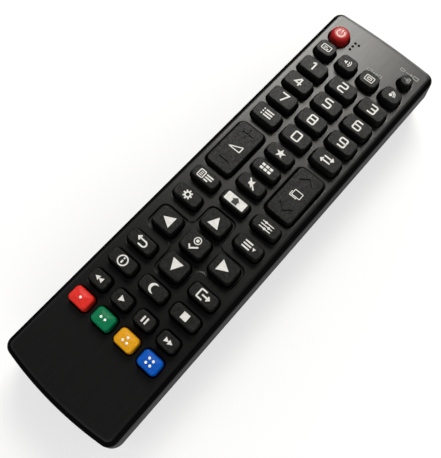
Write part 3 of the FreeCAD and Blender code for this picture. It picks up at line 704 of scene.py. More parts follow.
def key_tree():
    """A rubber key: a drafted rounded block with a soft edge round its flat or crowned top.

    A grid is bent into it. Its columns go round the outline. Row 0 is the middle of the foot, row 1
    the foot's outline, rows 2 to 2 + Edge Steps the edge, and the next TOP_STEPS + 1 the top."""
    n = new_group(
        "Rubber key", "Geometry", Centre_X=0.0, Centre_Y=0.0, Half_Width=5.0, Half_Depth=3.0,
        Corner=1.8, Foot_Z=0.0, Face_Z=1.0, Top_Z=4.0, Draft=0.08, Rounding=0.6, Crown=0.0,
        Around=96, Edge_Steps=7, Material="Material")
    given = n.given
    draft, radius, edge_rows = given["Draft"], given["Rounding"], given["Edge Steps"]
    rows = n.plus(edge_rows, 4.0 + TOP_STEPS)
    columns = n.plus(given["Around"], 1.0)
    grid = n.node("GeometryNodeMeshGrid", Size_X=1.0, Size_Y=1.0, Vertices_X=columns, Vertices_Y=rows)
    place = n.split(n.node("GeometryNodeInputPosition").outputs[0])
    row = n.math("ROUND", n.times(n.plus(place["Y"], 0.5), n.minus(rows, 1.0)))

    outline = n.node("GeometryNodeCurvePrimitiveQuadrilateral", Width=n.times(given["Half Width"], 2.0),
                     Height=n.times(given["Half Depth"], 2.0))
    soft = n.node("GeometryNodeFilletCurve", {"mode": "POLY"}, outline.outputs[0], Count=16,
                  Radius=given["Corner"])
    around = n.plus(place["X"], 0.5)
    sample = n.node("GeometryNodeSampleCurve", Curves=soft.outputs[0], Factor=around).outputs
    outward = n.vector("CROSS_PRODUCT", sample["Tangent"], n.join(Z=1.0))[0]
    sign = n.math("SIGN", n.vector("DOT_PRODUCT", outward, sample["Position"])["Value"])

    slope = n.math("ARCTANGENT", draft)
    turn_share = n.spread(row, 2.0, n.plus(edge_rows, 2.0))
    turn = n.math("MULTIPLY_ADD", n.minus(math.pi / 2, slope), turn_share, slope)
    low_z = n.minus(given["Top Z"], radius)
    lean = n.times(draft, n.minus(low_z, given["Face Z"]))
    centre = n.plus(lean, n.math("DIVIDE", radius, n.math("COSINE", slope)))
    arc_inset = n.minus(centre, n.times(radius, n.math("COSINE", turn)))
    arc_z = n.math("MULTIPLY_ADD", radius, n.math("SINE", turn), low_z)
    foot_inset = n.times(draft, n.minus(given["Foot Z"], given["Face Z"]))

    def pick(switch, no, yes):
        return n.math("MULTIPLY_ADD", switch, n.minus(yes, no), no)

    on_foot = n.math("LESS_THAN", row, 1.5)
    on_top = n.math("GREATER_THAN", row, n.plus(edge_rows, 2.5))
    top_share = n.spread(row, n.plus(edge_rows, 3.0), n.plus(edge_rows, 3.0 + TOP_STEPS))
    inset = n.math("MULTIPLY_ADD", on_top, TOP_STRIP * MM, pick(on_foot, arc_inset, foot_inset))
    height = pick(on_foot, arc_z, given["Foot Z"])
    shift = n.times(n.times(sign, inset), -1.0)
    moved = n.vector("MULTIPLY_ADD", outward, n.join(X=shift, Y=shift), sample["Position"])[0]
    keep = n.times(n.math("GREATER_THAN", row, 0.5), n.minus(1.0, top_share))
    swell = n.times(n.times(on_top, given["Crown"]), n.minus(1.0, n.times(keep, keep)))
    flat = n.vector("MULTIPLY", moved, n.join(X=keep, Y=keep))[0]
    middle = n.join(X=given["Centre X"], Y=given["Centre Y"], Z=n.plus(height, swell))
    shaped = n.node("GeometryNodeSetPosition", Geometry=grid.outputs["Mesh"],
                    Position=n.vector("ADD", flat, middle)[0])
    welded = n.node("GeometryNodeMergeByDistance", Geometry=shaped.outputs[0], Distance=WELD * MM)
    return n.finish(welded.outputs[0])


def dot_tree():
    """Raised round dots on given points."""
    n = new_group("Raised dots", "Geometry", Points="Geometry", Radius=0.4 * MM, Height=0.2 * MM,
                  Material="Material")
    ball = n.node("GeometryNodeMeshUVSphere", Segments=20, Rings=12, Radius=1.0)
    size = n.join(X=n.given["Radius"], Y=n.given["Radius"], Z=n.given["Height"])
    placed = n.node("GeometryNodeInstanceOnPoints", Points=n.given["Points"],
                    Instance=ball.outputs["Mesh"], Scale=size)
    return n.finish(placed.outputs[0])


def bar_tree():
    """Rounded bars side by side."""
    n = new_group("Grip bars", "Geometry", Count=4, Pitch=1.8 * MM, Half_Length=5.0 * MM,
                  Radius=0.4 * MM, Height=0.4 * MM, Centre_Y=0.0, Centre_Z=0.0, Material="Material")
    given = n.given
    reach = n.times(n.times(n.minus(given["Count"], 1.0), given["Pitch"]), 0.5)
    line = n.node(
        "GeometryNodeMeshLine", {"mode": "OFFSET"}, Count=given["Count"],
        Start_Location=n.join(Y=n.minus(given["Centre Y"], reach), Z=given["Centre Z"]),
        Offset=n.join(Y=given["Pitch"]))
    ball = n.node("GeometryNodeMeshUVSphere", Segments=24, Rings=12, Radius=1.0)
    spot = n.split(n.node("GeometryNodeInputPosition").outputs[0])
    straight = n.times(n.math("SIGN", spot["X"]), n.minus(given["Half Length"], given["Radius"]))
    shape = n.join(X=n.plus(n.times(spot["X"], given["Radius"]), straight),
                   Y=n.times(spot["Y"], given["Radius"]), Z=n.times(spot["Z"], given["Height"]))
    bar = n.node("GeometryNodeSetPosition", Geometry=ball.outputs["Mesh"], Position=shape)
    placed = n.node("GeometryNodeInstanceOnPoints", Points=line.outputs["Mesh"], Instance=bar.outputs[0])
    return n.finish(placed.outputs[0])


def grow(name, builder, sizes, points=(), **others):
    """A plain mesh object that a Geometry Nodes tree makes from sizes in millimetres and others."""
    nodes = built(builder)
    mesh = bpy.data.meshes.new(name)
    mesh.from_pydata([tuple(value * MM for value in point) for point in points], [], [])
    thing = new_object(name + "_points", mesh)
    modifier = thing.modifiers.new("grow", "NODES")
    modifier.node_group = nodes.tree
    values = {label: size * MM for label, size in sizes.items()}
    for label, value in (values | others).items():
        modifier[nodes.identifiers[label]] = value
    return settled(thing, name)


# Printed shapes on the keys, in millimetres round a key's centre


def rounded_path(points, radius, closed, steps=5):
    """A line through points with its corners rounded."""
    if radius <= 0:
        return list(points)
    path = []
    count = len(points)
    for place, point in enumerate(points):
        if not closed and place in (0, count - 1):
            path.append(point)
            continue
        here = Vector(point)
        back = Vector(points[place - 1]) - here
        ahead = Vector(points[(place + 1) % count]) - here
        turn = back.angle(ahead)
        if abs(turn - math.pi) < 0.02:
            path.append(point)
            continue
        run = min(radius / math.tan(turn / 2), back.length / 2.01, ahead.length / 2.01)
        start, end = here + back.normalized() * run, here + ahead.normalized() * run
        for step in range(steps + 1):
            t = step / steps
            spot = start * (1 - t) ** 2 + here * 2 * t * (1 - t) + end * t ** 2
            path.append((spot.x, spot.y))
    return path


def stroke(points, width, radius=0.0, closed=False):
    """A printed line of one width, as its left and right side."""
    path = [Vector(point) for point in rounded_path(points, radius, closed)]
    count = len(path)
    left, right = [], []
    for place, here in enumerate(path):
        ways = [(here - path[place - 1]).normalized()] if closed or place > 0 else []
        if closed or place < count - 1:
            ways.append((path[(place + 1) % count] - here).normalized())
        way = sum(ways, Vector((0.0, 0.0))).normalized()
        side = Vector((-way.y, way.x))
        if len(ways) == 2:
            side /= max(0.45, math.cos(ways[0].angle(ways[1]) / 2))
        left.append(here + side * width / 2)
        right.append(here - side * width / 2)
    return ("band", left, right, closed)


def plate(points):
    return ("plate", [Vector(point) for point in points])


def arc(x, y, radius, start, end, steps):
    """Points on an arc, with its ends in degrees."""
    return arc_points(x, y, radius, math.radians(start), math.radians(end), steps)


def disc(x, y, radius, steps=24):
    return plate(arc(x, y, radius, 0, 360, steps)[:-1])


def star(x, y, outer, inner):
    tips, dents = arc(x, y, outer, 90, 378, 4), arc(x, y, inner, 126, 414, 4)
    return plate([point for pair in zip(tips, dents) for point in pair])


def ring(x, y, radius, width):
    return stroke(arc(x, y, radius, 0, 360, 28)[:-1], width, closed=True)


def frame_box(x, y, half_width, half_height, width, radius=0.3):
    return stroke(box_corners(x, y, half_width, half_height), width, radius, closed=True)


def block(x, y, half_width, half_height):
    return plate(box_corners(x, y, half_width, half_height))


def lines(rows, start, end, width):
    """Level printed lines at several heights."""
    return [stroke([(start, row), (end, row)], width) for row in rows]


def wedge(x, y, size, turn):
    """A filled triangle that points along turn, in degrees."""
    spin = Matrix.Rotation(math.radians(turn), 2)
    corners = [spin @ Vector(spot) * size for spot in ((0.62, 0.0), (-0.42, 0.58), (-0.42, -0.58))]
    return plate([(x + corner.x, y + corner.y) for corner in corners])


# Each digit's lines in a square of -1 to 1, and whether the first one closes

DIGITS = {
    "0": ([[(-1, -1), (1, -1), (1, 1), (-1, 1)]], True),
    "1": ([[(-0.75, 0.62), (0.1, 1), (0.1, -1)]], False),
    "2": ([[(-1, 1), (1, 1), (1, 0), (-1, 0), (-1, -1), (1, -1)]], False),
    "3": ([[(-1, 1), (1, 1), (1, -1), (-1, -1)], [(-0.5, 0), (0.97, 0)]], False),
    "4": ([[(0.45, -1), (0.45, 1)], [(0.3, 1), (-0.95, -0.35), (1.05, -0.35)]], False),
    "5": ([[(1, 1), (-1, 1), (-1, 0.1), (1, 0.1), (1, -1), (-1, -1)]], False),
    "6": ([[(0.9, 1), (-1, 1), (-1, -1), (1, -1), (1, 0.05), (-0.95, 0.05)]], False),
    "7": ([[(-1, 1), (1, 1), (-0.1, -1)]], False),
    "8": ([[(-0.95, -1), (0.95, -1), (0.95, 1), (-0.95, 1)], [(-0.9, 0.03), (0.9, 0.03)]], True),
    "9": ([[(-0.9, -1), (1, -1), (1, 1), (-1, 1), (-1, -0.05), (0.95, -0.05)]], False),
}
DIGIT_HALF_WIDTH = 1.34
DIGIT_HALF_HEIGHT = 1.64
DIGIT_LINE = 0.57
DIGIT_CORNER = 0.55


def digit(character):
    """One squared number with soft corners. The slanted ones stay sharp."""
    paths, closed = DIGITS[character]
    corner = 0.0 if character in "47" else DIGIT_CORNER
    placed = [[(x * DIGIT_HALF_WIDTH, y * DIGIT_HALF_HEIGHT) for x, y in path] for path in paths]
    return [stroke(path, DIGIT_LINE, corner, closed and place == 0) for place, path in enumerate(placed)]


def speaker(x, y, size):
    body = [(-0.9, 0.34), (-0.45, 0.34), (0.15, 0.85), (0.15, -0.85), (-0.45, -0.34), (-0.9, -0.34)]
    return plate([(x + a * size, y + b * size) for a, b in body])


def gear_shapes(radius, width):
    shapes = [ring(0, 0, radius, width)]
    for tooth in arc(0, 0, 1, 0, 315, 7):
        way = Vector(tooth)
        shapes.append(stroke([way * radius, way * radius * 1.85], width))
    return shapes


def arrow_shapes(x, y, length, width, turn):
    """A line arrow round x, y that points along turn, in degrees."""
    way = Vector((math.cos(math.radians(turn)), math.sin(math.radians(turn))))
    side = Vector((-way.y, way.x))
    middle = Vector((x, y))
    tip = middle + way * length / 2
    back = tip - way * 0.62
    return [
        stroke([middle - way * length / 2, tip - way * 0.2], width),
        stroke([back + side * 0.62, tip, back - side * 0.62], width),
    ]


def key_icons(w):
    """The printed shapes on each key that has any. w is the usual width of a line."""
    thirds = (0.85, 0.0, -0.85)
    knobs = ((0.85, -0.7), (0.0, 0.7), (-0.85, -0.1))
    icons = {f"digit_{character}_key": digit(character) for character in DIGITS}
    return icons | {
        "power_key": [stroke(arc(0, -0.15, 1.45, 125, 415, 30), 0.44), stroke([(0, 0.2), (0, 1.6)], 0.44)],
        "input_key": [
            stroke([(0.1, 0.85), (1.05, 0.85), (1.05, -0.85), (0.1, -0.85)], 0.26, 0.2),
            *arrow_shapes(-0.35, 0, 1.7, 0.26, 0)],
        "subtitle_key": [
            frame_box(0, 0, 1.75, 1.05, 0.3, 0.35), *lines([-0.45], -1.05, -0.2, 0.3),
            *lines([-0.45], 0.25, 1.05, 0.3), *lines([0.25], -1.05, 0.3, 0.3)],
        "audio_description_key": [
            speaker(-0.55, 0, 0.95), stroke(arc(-0.45, 0, 1.0, -50, 50, 10), 0.3),
            stroke(arc(-0.45, 0, 1.65, -50, 50, 12), 0.3)],
        "ratio_key": [frame_box(0, 0, 1.65, 1.15, 0.3, 0.25), frame_box(0, 0, 0.8, 0.42, 0.28, 0.1)],
        "tv_radio_key": [
            disc(-0.35, -0.25, 0.62), stroke(arc(-0.35, -0.25, 1.1, -20, 110, 14), 0.3),
            stroke(arc(-0.35, -0.25, 1.62, -10, 100, 14), 0.3)],
        "list_key": [
            shape for row in thirds
            for shape in (disc(-1.5, row, 0.24, 14), *lines([row], -0.9, 1.7, w))],
        "quick_view_key": arrow_shapes(0.15, 0.65, 2.9, w, 0) + arrow_shapes(-0.15, -0.65, 2.9, w, 180),
        "favourite_key": [star(0, -0.05, 1.5, 0.62)],
        "guide_key": [block(x, y, 0.48, 0.36) for x in (-1.25, 0.0, 1.25) for y in (-0.55, 0.55)],
        "mute_key": [speaker(0.2, 0, 1.3), stroke([(-1.3, 1.2), (1.4, -1.2)], w * 0.9)],
        "text_key": [
            frame_box(-1.35, 0, 0.85, 1.05, 0.3), *lines([0.5, 0.0, -0.5], -1.77, -0.93, 0.24),
            *lines([0.6, -0.15], 0.0, 2.2, w), *lines([-0.9], 0.0, 1.3, w)],
        "text_option_key": [
            shape for row, knob in knobs
            for shape in (*lines([row], -1.8, 1.8, 0.26), disc(knob, row, 0.36, 18))],
        "settings_key": gear_shapes(0.72, 0.42),
        "quick_menu_key": [*lines(thirds, -1.7, 0.7, w), wedge(1.55, 0.0, 0.85, -90)],
        "up_key": [wedge(0, -0.4, 3.6, 90)],
        "down_key": [wedge(0, 0.4, 3.6, -90)],
        "left_key": [wedge(0.5, 0, 3.6, 180)],
        "right_key": [wedge(-0.5, 0, 3.6, 0)],
        "ok_key": [
            disc(0, 1.05, 0.56), ring(0, 1.05, 1.15, 0.33),
            stroke([(-1.5, -1.35), (-0.5, -2.3), (1.6, -0.5)], 0.55)],
        "back_key": [
            stroke([(-1.3, 0.5), *arc(0.9, -0.25, 0.75, 90, -90, 12), (-0.4, -1.0)], w),
            stroke([(-0.75, 1.15), (-1.45, 0.5), (-0.75, -0.15)], w)],
        "exit_key": [
            stroke([(0.2, 1.15), (-1.5, 1.15), (-1.5, -1.15), (0.2, -1.15)], w, 0.2),
            *arrow_shapes(0.55, 0, 2.2, w, 0)],
        "info_key": [
            ring(0, 0, 1.3, 0.34), stroke([(0, 0.15), (0, -0.75)], 0.42), disc(0, 0.68, 0.25, 14)],
        "sleep_key": [plate(arc(0.1, 0, 1.35, 60, 300, 24) + arc(0.62, 0, 1.12, 268, 92, 20))],
        "stop_key": [block(0, 0, 0.95, 0.95)],
        "rewind_key": [wedge(-0.72, 0, 1.45, 180), wedge(0.68, 0, 1.45, 180)],
        "play_key": [wedge(0, 0, 1.75, 0)],
        "pause_key": [block(-0.62, 0, 0.3, 1.05), block(0.62, 0, 0.3, 1.05)],
        "fast_forward_key": [wedge(-0.68, 0, 1.45, 0), wedge(0.72, 0, 1.45, 0)],
        "volume_rocker": [stroke([(-2.3, -1.0), (2.3, -1.0), (2.3, 1.25)], 0.38, 0.12, closed=True)],
        "programme_rocker": [
            frame_box(0.35, 0.45, 1.6, 1.1, 0.3, 0.2),
            stroke([(-1.75, 0.6), (-1.75, -1.15), (1.0, -1.15)], 0.3, 0.2)],
    }


def print_shapes(shapes, name, x, y, z, paint, thickness=PRINT_THICKNESS, scale=1.0):
    """The shapes as thin closed prisms that lie on a key. Each is a little higher than the last."""
    bm = bmesh.new()

    def raised(points, height):
        return [(x + point.x * scale, y + point.y * scale, height) for point in points]

    for place, shape in enumerate(shapes):
        low, high = z - PRINT_SINK, z + thickness + 0.003 * place
        if shape[0] == "plate":
            for end in chain(bm, [raised(shape[1], low), raised(shape[1], high)]):
                bm.faces.new(end)
            continue
        _, left, right, closed = shape
        walls = [loop(bm, raised(side, height)) for side, height in
                 ((left, low), (left, high), (right, high), (right, low))]
        count = len(left)
        for here in range(count if closed else count - 1):
            after = (here + 1) % count
            for one, other in zip(walls, walls[1:] + walls[:1]):
                bm.faces.new((one[here], one[after], other[after], other[here]))
        if not closed:
            for end in (0, count - 1):
                bm.faces.new([wall[end] for wall in walls])
    return finish_mesh(bm, name, paint)


def ride_on(thing, node, replaced=False):
    """The piece moves with a node's body, and takes its place when told to."""
    record = frame["record"]
    body = next(body for body, nodes in record["behaviour"]["bodies"].items() if node in nodes)
    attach(thing, body)
    if replaced:
        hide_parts(node)


# Operators, one for each piece or group of like pieces


class REMOTE_OT_top_housing(Operator):
    """Build the smooth top housing with its key openings and the cross recess"""
    bl_idname = "remote.top_housing"
    bl_label = "Top Housing"

    def execute(self, context):
        settings = context.scene.remote_housing
        steps = settings.corner_steps
        under_z = FACE_Z - FACE_THICKNESS
        recess_z = FACE_Z - settings.recess_depth
        bm = bmesh.new()
        profile = side_profile(FLARE, TOP_HEIGHT, settings.shoulder)
        outer_low, outer_top = chain(bm, [plan_ring(inset, FACE_Z - away, steps) for inset, away in profile])
        inner_low, inner_top = chain(bm, [
            plan_ring(CASE_WALL + FLARE * (z - PARTING_Z) / TOP_HEIGHT, z, steps)
            for z in (PARTING_Z, under_z)])
        bridge(bm, inner_low, outer_low)

        face_loops, floor_loops, under_loops = [outer_top], [], [inner_top]
        for name, kind in KIND_OF.items():
            level, loops = (recess_z, floor_loops) if kind == "arrow" else (FACE_Z, face_loops)
            soft = settings.rim * RIM_SHARE.get(kind, 1.0)
            rim = [(0.0, under_z)] + brow(soft, soft, level - soft) + [(soft + LEVEL_STRIP, level)]
            low, high = chain(bm, [opening_ring(name, away, z) for away, z in rim])
            under_loops.append(low)
            loops.append(high)

        # The recess's edge: a hollow at its foot and a round brow
        hollow = settings.recess_depth * HOLLOW_SHARE
        upper = settings.recess_depth - hollow
        foot = [(-away, recess_z - z) for away, z in reversed(brow(hollow, hollow, -hollow))]
        wall = foot + brow(upper, upper, FACE_Z - upper)[1:]
        wall = [(-hollow - LEVEL_STRIP, recess_z)] + wall + [(upper + LEVEL_STRIP, FACE_Z)]
        low, high = chain(bm, [cross_ring(away, z) for away, z in wall])
        floor_loops.append(low)
        face_loops.append(high)
        for loops in (face_loops, floor_loops, under_loops):
            fill(bm, loops)
        ride_on(finish_mesh(bm, "top_housing", case_plastic()), "top_case", replaced=True)
        return {"FINISHED"}


def base_shell(name, thickness, skin, paint):
    """The smooth lower half of the case as a closed shell, grown by a thin skin.

    Only the rings at the underside take the skin in height, and near the parting line the inner
    rings keep the outer ones' height."""
    settings = bpy.context.scene.remote_housing
    outer, inner = [], []
    for inset, away in side_profile(TUCK, PARTING_Z, settings.base_edge):
        outer_z = away - (skin if away < 0.01 else 0.0)
        outer.append(plan_ring(inset - skin, outer_z, settings.corner_steps))
        drawn_in = min(inset + thickness, CORNER_RADIUS - LEAST_CORNER)
        inner_z = max(away, thickness) if away < PARTING_Z - 0.5 else away
        inner.append(plan_ring(drawn_in, inner_z, settings.corner_steps))
    bm = bmesh.new()
    outer_top, outer_low = chain(bm, outer)
    inner_top, inner_low = chain(bm, inner)
    bridge(bm, outer_top, inner_top)
    bm.faces.new(outer_low)
    bm.faces.new(inner_low)
    return finish_mesh(bm, name, paint)


def cover_block(name, wider, levels, paint):
    """A block in the cover's plan that runs out past the hand end, from (inset, z) levels."""
    front, back = COVER_FRONT + wider, -HALF_LENGTH - PAST_END
    half_width, half_depth = COVER_HALF_WIDTH + wider, (front - back) / 2
    return prism(name, [
        rounded_box(0, (front + back) / 2, half_width - inset, half_depth - inset, COVER_CORNER, z, 4)
        for inset, z in levels], paint)


class REMOTE_OT_base(Operator):
    """Lay a smooth skin with a fine grain over the lower half of the case"""
    bl_idname = "remote.base"
    bl_label = "Base"

    def execute(self, context):
        paint = base_plastic()
        dress("bottom_case", paint)
        shell = base_shell("base_shell", SKIN_DEPTH, SKIN, paint)
        levels = ((0.0, UNDER), (0.0, COVER_HIGH.z + COVER_GAP))
        opening = cover_block("cover_opening", COVER_GAP, levels, paint)
        ride_on(cut(shell, opening, "DIFFERENCE", "base_skin"), "bottom_case")
        return {"FINISHED"}


COVER_EDGE = 0.25
DISH_Y = COVER_FRONT - 9.5
DISH = (7.5, 4.5, 3.0)  # half width, half length and corner
DISH_SLOPE = 1.4
DISH_DEPTH = 0.9
GRIP_BARS = {"Pitch": 1.75, "Half_Length": 5.2, "Radius": 0.42, "Height": 0.55, "Centre_Y": DISH_Y,
             "Centre_Z": 0.92}


class REMOTE_OT_cover(Operator):
    """Build the battery cover with its thumb dish and grip bars"""
    bl_idname = "remote.cover"
    bl_label = "Battery Cover"

    def execute(self, context):
        paint = base_plastic()
        levels = ((COVER_EDGE, UNDER), (COVER_EDGE, 0.0), (COVER_EDGE * 0.3, COVER_EDGE * 0.3),
                  (0.0, COVER_EDGE), (0.0, COVER_HIGH.z))
        keep = cover_block("cover_outline", 0.0, levels, paint)
        cover = cut(base_shell("cover_shell", CASE_WALL, 0.0, paint), keep, "INTERSECT", "cover_plate")
        thumb = prism("thumb_bowl", [
            rounded_box(0, DISH_Y, *(size - inset for size in DISH), z, 10)
            for inset, z in [(0.0, -1.0)] + brow(DISH_SLOPE, DISH_DEPTH, 0.0, 8)], paint)
        cover = cut(cover, thumb, "DIFFERENCE", "cover_plate")
        bars = grow("cover_grip_bars", bar_tree, GRIP_BARS, Count=4, Material=paint)
        runners, heights = [], (CASE_WALL - TONGUE_HEIGHT, CASE_WALL)
        for place, plan in enumerate(tongue_plans()):
            rings = [[(x, y, z) for x, y in box_corners(*plan)] for z in heights]
            runners.append(prism(f"cover_runner_{place + 1}", rings, paint))
        cover.name = "battery_cover_plate"
        ride_on(cover, "battery_cover", replaced=True)
        for thing in [bars] + runners:
            ride_on(thing, "battery_cover")
        return {"FINISHED"}


def tongue_plans():
    """The cover's two side tongues and its front tab, as centres and half sizes."""
    front, back = COVER_FRONT, -HALF_LENGTH + TONGUE_FROM_END
    outer, inner = COVER_HALF_WIDTH + TONGUE_REACH, COVER_HALF_WIDTH - TONGUE_ROOT
    spans = [
        (-outer, -inner, back, front), (inner, outer, back, front),
        (-TAB_HALF_WIDTH, TAB_HALF_WIDTH, front - TAB_ROOT, front + TAB_REACH)]
    return [((left + right) / 2, (low + high) / 2, (right - left) / 2, (high - low) / 2)
            for left, right, low, high in spans]


class REMOTE_OT_keys(Operator):
    """Grow every rubber key from the key tree"""
    bl_idname = "remote.keys"
    bl_label = "Keys"

    def execute(self, context):
        settings = context.scene.remote_keys
        for name, kind in KIND_OF.items():
            x, y, half_width, half_depth, top_z = key_size(name)
            sizes = {
                "Centre_X": x, "Centre_Y": y, "Half_Width": half_width, "Half_Depth": half_depth,
                "Corner": min(CORNER[kind], half_width - KEY_STRAIGHT), "Foot_Z": corners_mm(name)[0].z,
                "Face_Z": FACE_Z, "Top_Z": top_z, "Rounding": settings.rounding * ROUNDER.get(kind, 1.0),
                "Crown": settings.crown if kind == "colour" else 0.0,
            }
            body = grow(
                name + "_cap", key_tree, sizes, Draft=settings.draft, Edge_Steps=KEY_EDGE_STEPS,
                Around=120 if kind == "rocker" else 96, Material=key_rubber(name))
            if kind == "rocker":
                body = engrave(body, name, x, y, half_depth, top_z)
            ride_on(body, name, replaced=True)
        return {"FINISHED"}


MARKS = {
    "volume_rocker": (
        [[(-2.1, 0.0), (2.1, 0.0)], [(0.0, -2.1), (0.0, 2.1)]], [[(-2.1, 0.0), (2.1, 0.0)]]),
    "programme_rocker": (
        [[(-2.6, -1.1), (0.0, 1.1), (2.6, -1.1)]], [[(-2.6, 1.1), (0.0, -1.1), (2.6, 1.1)]]),
}


def engrave(body, name, x, y, half_depth, top_z):
    """The rocker with its two marks cut into the ends of its top."""
    floor_z = top_z - GROOVE_DEPTH + PRINT_SINK
    for mark, side in zip(MARKS[name], (1, -1)):
        mark_y = y + side * (half_depth - MARK_FROM_END)
        for line in mark:
            groove = print_shapes([stroke(line, GROOVE_WIDTH)], "groove", x, mark_y, floor_z,
                                  key_rubber(name), GROOVE_DEPTH + BEYOND)
            body = cut(body, groove, "DIFFERENCE", name + "_cap")
    return body


def label_shapes(frames, width, arrow_x, length, arrow_width):
    """Two small frames with an arrow between, from (x, half width, half height) of each frame."""
    boxes = [frame_box(x, 0, half_width, half_height, width, 0.1) for x, half_width, half_height in frames]
    return boxes + arrow_shapes(arrow_x, 0, length, arrow_width, 0)


class REMOTE_OT_prints(Operator):
    """Print the numbers and pictograms on the keys"""
    bl_idname = "remote.prints"
    bl_label = "Key Prints"

    def execute(self, context):
        inks = {
            "power_key": print_ink("pink_ink", 0.95, 0.50, 0.44),
            "input_key": print_ink("grey_ink", 0.30, 0.30, 0.29),
        }
        icons = key_icons(context.scene.remote_keys.print_width)
        for name in KIND_OF:
            x, y, half_width, half_depth, top_z = key_size(name)
            if name in icons:
                scale = 1.25 if name in WIDE_PRINTS else 1.0
                paint = inks.get(name) or print_ink()
                mark = print_shapes(icons[name], name + "_print", x, y, top_z, paint, scale=scale)
                ride_on(mark, name)
            if name == "home_key":
                across, along = PANEL_MARGIN
                outline = rounded_box(0, 0, half_width - across, half_depth - along, 0.35, 0, 5)
                panel = [plate([point[:2] for point in outline])]
                ride_on(print_shapes(panel, "home_key_panel", x, y, top_z, print_ink(), FINE_PRINT), name)
                house = [plate([(-1.5, 0.1), (0.0, 1.35), (1.5, 0.1)]), block(0, -0.55, 1.0, 0.72)]
                dark = print_ink("dark_ink", 0.02, 0.02, 0.02)
                top_z += PRINT_THICKNESS
                ride_on(print_shapes(house, "home_key_print", x, y, top_z, dark, FINE_PRINT), name)
        grey = print_ink("label_ink", 0.25, 0.26, 0.245)
        labels = {
            "input_label": (14.0, 78.1, [(-2.9, 0.8, 0.5), (2.8, 1.0, 0.6)], 0.34, -0.1, 2.6, 0.36),
            "ratio_label": (4.3, 69.75, [(-2.2, 1.0, 0.5), (2.3, 0.6, 0.5)], 0.32, 0.3, 1.9, 0.34),
        }
        for name, (x, y, *shape) in labels.items():
            ride_on(print_shapes(label_shapes(*shape), name, x, y, FACE_Z, grey), "top_case")
        return {"FINISHED"}


TOUCH_DOTS = [(-8.6, 75.45), (-8.6, 73.7), (-8.6, 71.95), (-7.05, 75.45)]
DOT_REACH = 0.78  # half the distance between the dots on a coloured key
DOT_RISE = 0.9  # part of the key's crown that lies under its dots
DOT_LAYOUTS = {
    "red_key": [(0, 0)],
    "green_key": [(-1, 0), (1, 0)],
    "yellow_key": [(0, 1), (-1, -0.75), (1, -0.75)],
    "blue_key": [(-1, 1), (1, 1), (-1, -1), (1, -1)],
}


class REMOTE_OT_dots(Operator):
    """Set the raised dots by the power key and on the coloured keys"""
    bl_idname = "remote.dots"
    bl_label = "Raised Dots"

    def execute(self, context):
        black = plain("dot_black", (0.002, 0.002, 0.002), rough=0.8, gloss=0.0)
        touch = grow("touch_dots", dot_tree, {"Radius": 0.52, "Height": 0.2},
                     [(x, y, FACE_Z) for x, y in TOUCH_DOTS], Material=black)
        ride_on(touch, "top_case")
        white = print_ink("dot_white", 0.85, 0.84, 0.8)
        for name, spots in DOT_LAYOUTS.items():
            x, y, _, _, top_z = key_size(name)
            lifted = top_z + DOT_RISE * context.scene.remote_keys.crown
            points = [(x + across * DOT_REACH, y + along * DOT_REACH, lifted) for across, along in spots]
            dots = grow(name + "_dots", dot_tree, {"Radius": 0.42, "Height": 0.24}, points,
                        Material=white)
            ride_on(dots, name)
        return {"FINISHED"}


WINDOW_RIM = 0.7
WINDOW_CORNER = 1.4
WINDOW_PROFILE = ((0.0, -1.6), (0.0, 0.0), (0.04, 0.06), (0.14, 0.1), (0.3, 0.11))


class REMOTE_OT_window(Operator):
    """Set the dark window in the emitter end"""
    bl_idname = "remote.window"
    bl_label = "Emitter Window"

    def execute(self, context):
        low, high = corners_mm("ir_window")
        half_width, half_height = high.x - WINDOW_RIM, (high.z - low.z) / 2 - WINDOW_RIM
        rings = []
        for inset, lift in WINDOW_PROFILE:
            points = []
            for x, up, _ in rounded_box(
                    0, 0, half_width - inset, half_height - inset, WINDOW_CORNER - inset, 0, 8):
                z = (low.z + high.z) / 2 + up
                wall_y = HALF_LENGTH - FLARE * (z - PARTING_Z) / TOP_HEIGHT - x * x / (2 * EMITTER_END_RADIUS)
                points.append((x, wall_y + lift, z))
            rings.append(points)

        def maker(n, shader):
            mask = marked(n, shader, Scale=200.0, Clean=0.08, Worn=0.16)
            red_black = n.blend(mask, (0.012, 0.003, 0.005, 1.0), (0.02, 0.005, 0.008, 1.0))
            n.fit(shader, Base_Color=red_black, Specular_IOR_Level=0.15)

        window = prism("emitter_window", rings, material("smoked_window", maker))
        ride_on(window, "ir_window", replaced=True)
        return {"FINISHED"}


class REMOTE_OT_inside(Operator):
    """Give the pieces inside the case their finishes"""
    bl_idname = "remote.inside"
    bl_label = "Inside Pieces"

    def execute(self, context):
        steel = plain("contact_steel", (0.62, 0.61, 0.59), rough=0.28, metallic=1.0, scale=2400.0,
                      strength=0.12, lighter=1.15)

        def jacket(n, shader):
            band = n.math("GREATER_THAN", n.split(n.spot())["Y"], -44.5 * MM)
            colour = n.blend(band, (0.012, 0.045, 0.035, 1.0), (0.40, 0.27, 0.10, 1.0))
            marked(n, shader, Clean=0.2, Worn=0.3)
            n.fit(shader, Base_Color=colour, Metallic=0.6)

        paints = {
            "ir_led": plain("emitter_clear", (0.45, 0.47, 0.52), rough=0.12),
            "circuit_board": plain("board_green", (0.012, 0.10, 0.045), rough=0.4),
            "keypad_mat": plain("mat_grey", (0.12, 0.12, 0.12), rough=0.62),
            "controller_chip": plain("chip_black", (0.012, 0.012, 0.013), rough=0.5),
            "resonator": plain("resonator_can", (0.55, 0.55, 0.56), rough=0.3, metallic=1.0),
            "capacitor": plain("capacitor_sleeve", (0.012, 0.016, 0.05), rough=0.35),
            "contact_link": steel, "contact_negative": steel, "contact_positive": steel,
            "battery_cells": material("cell_jacket", jacket),
        }
        for node, paint in paints.items():
            dress(node, paint)
        return {"FINISHED"}


# The stage. Its lengths are in metres

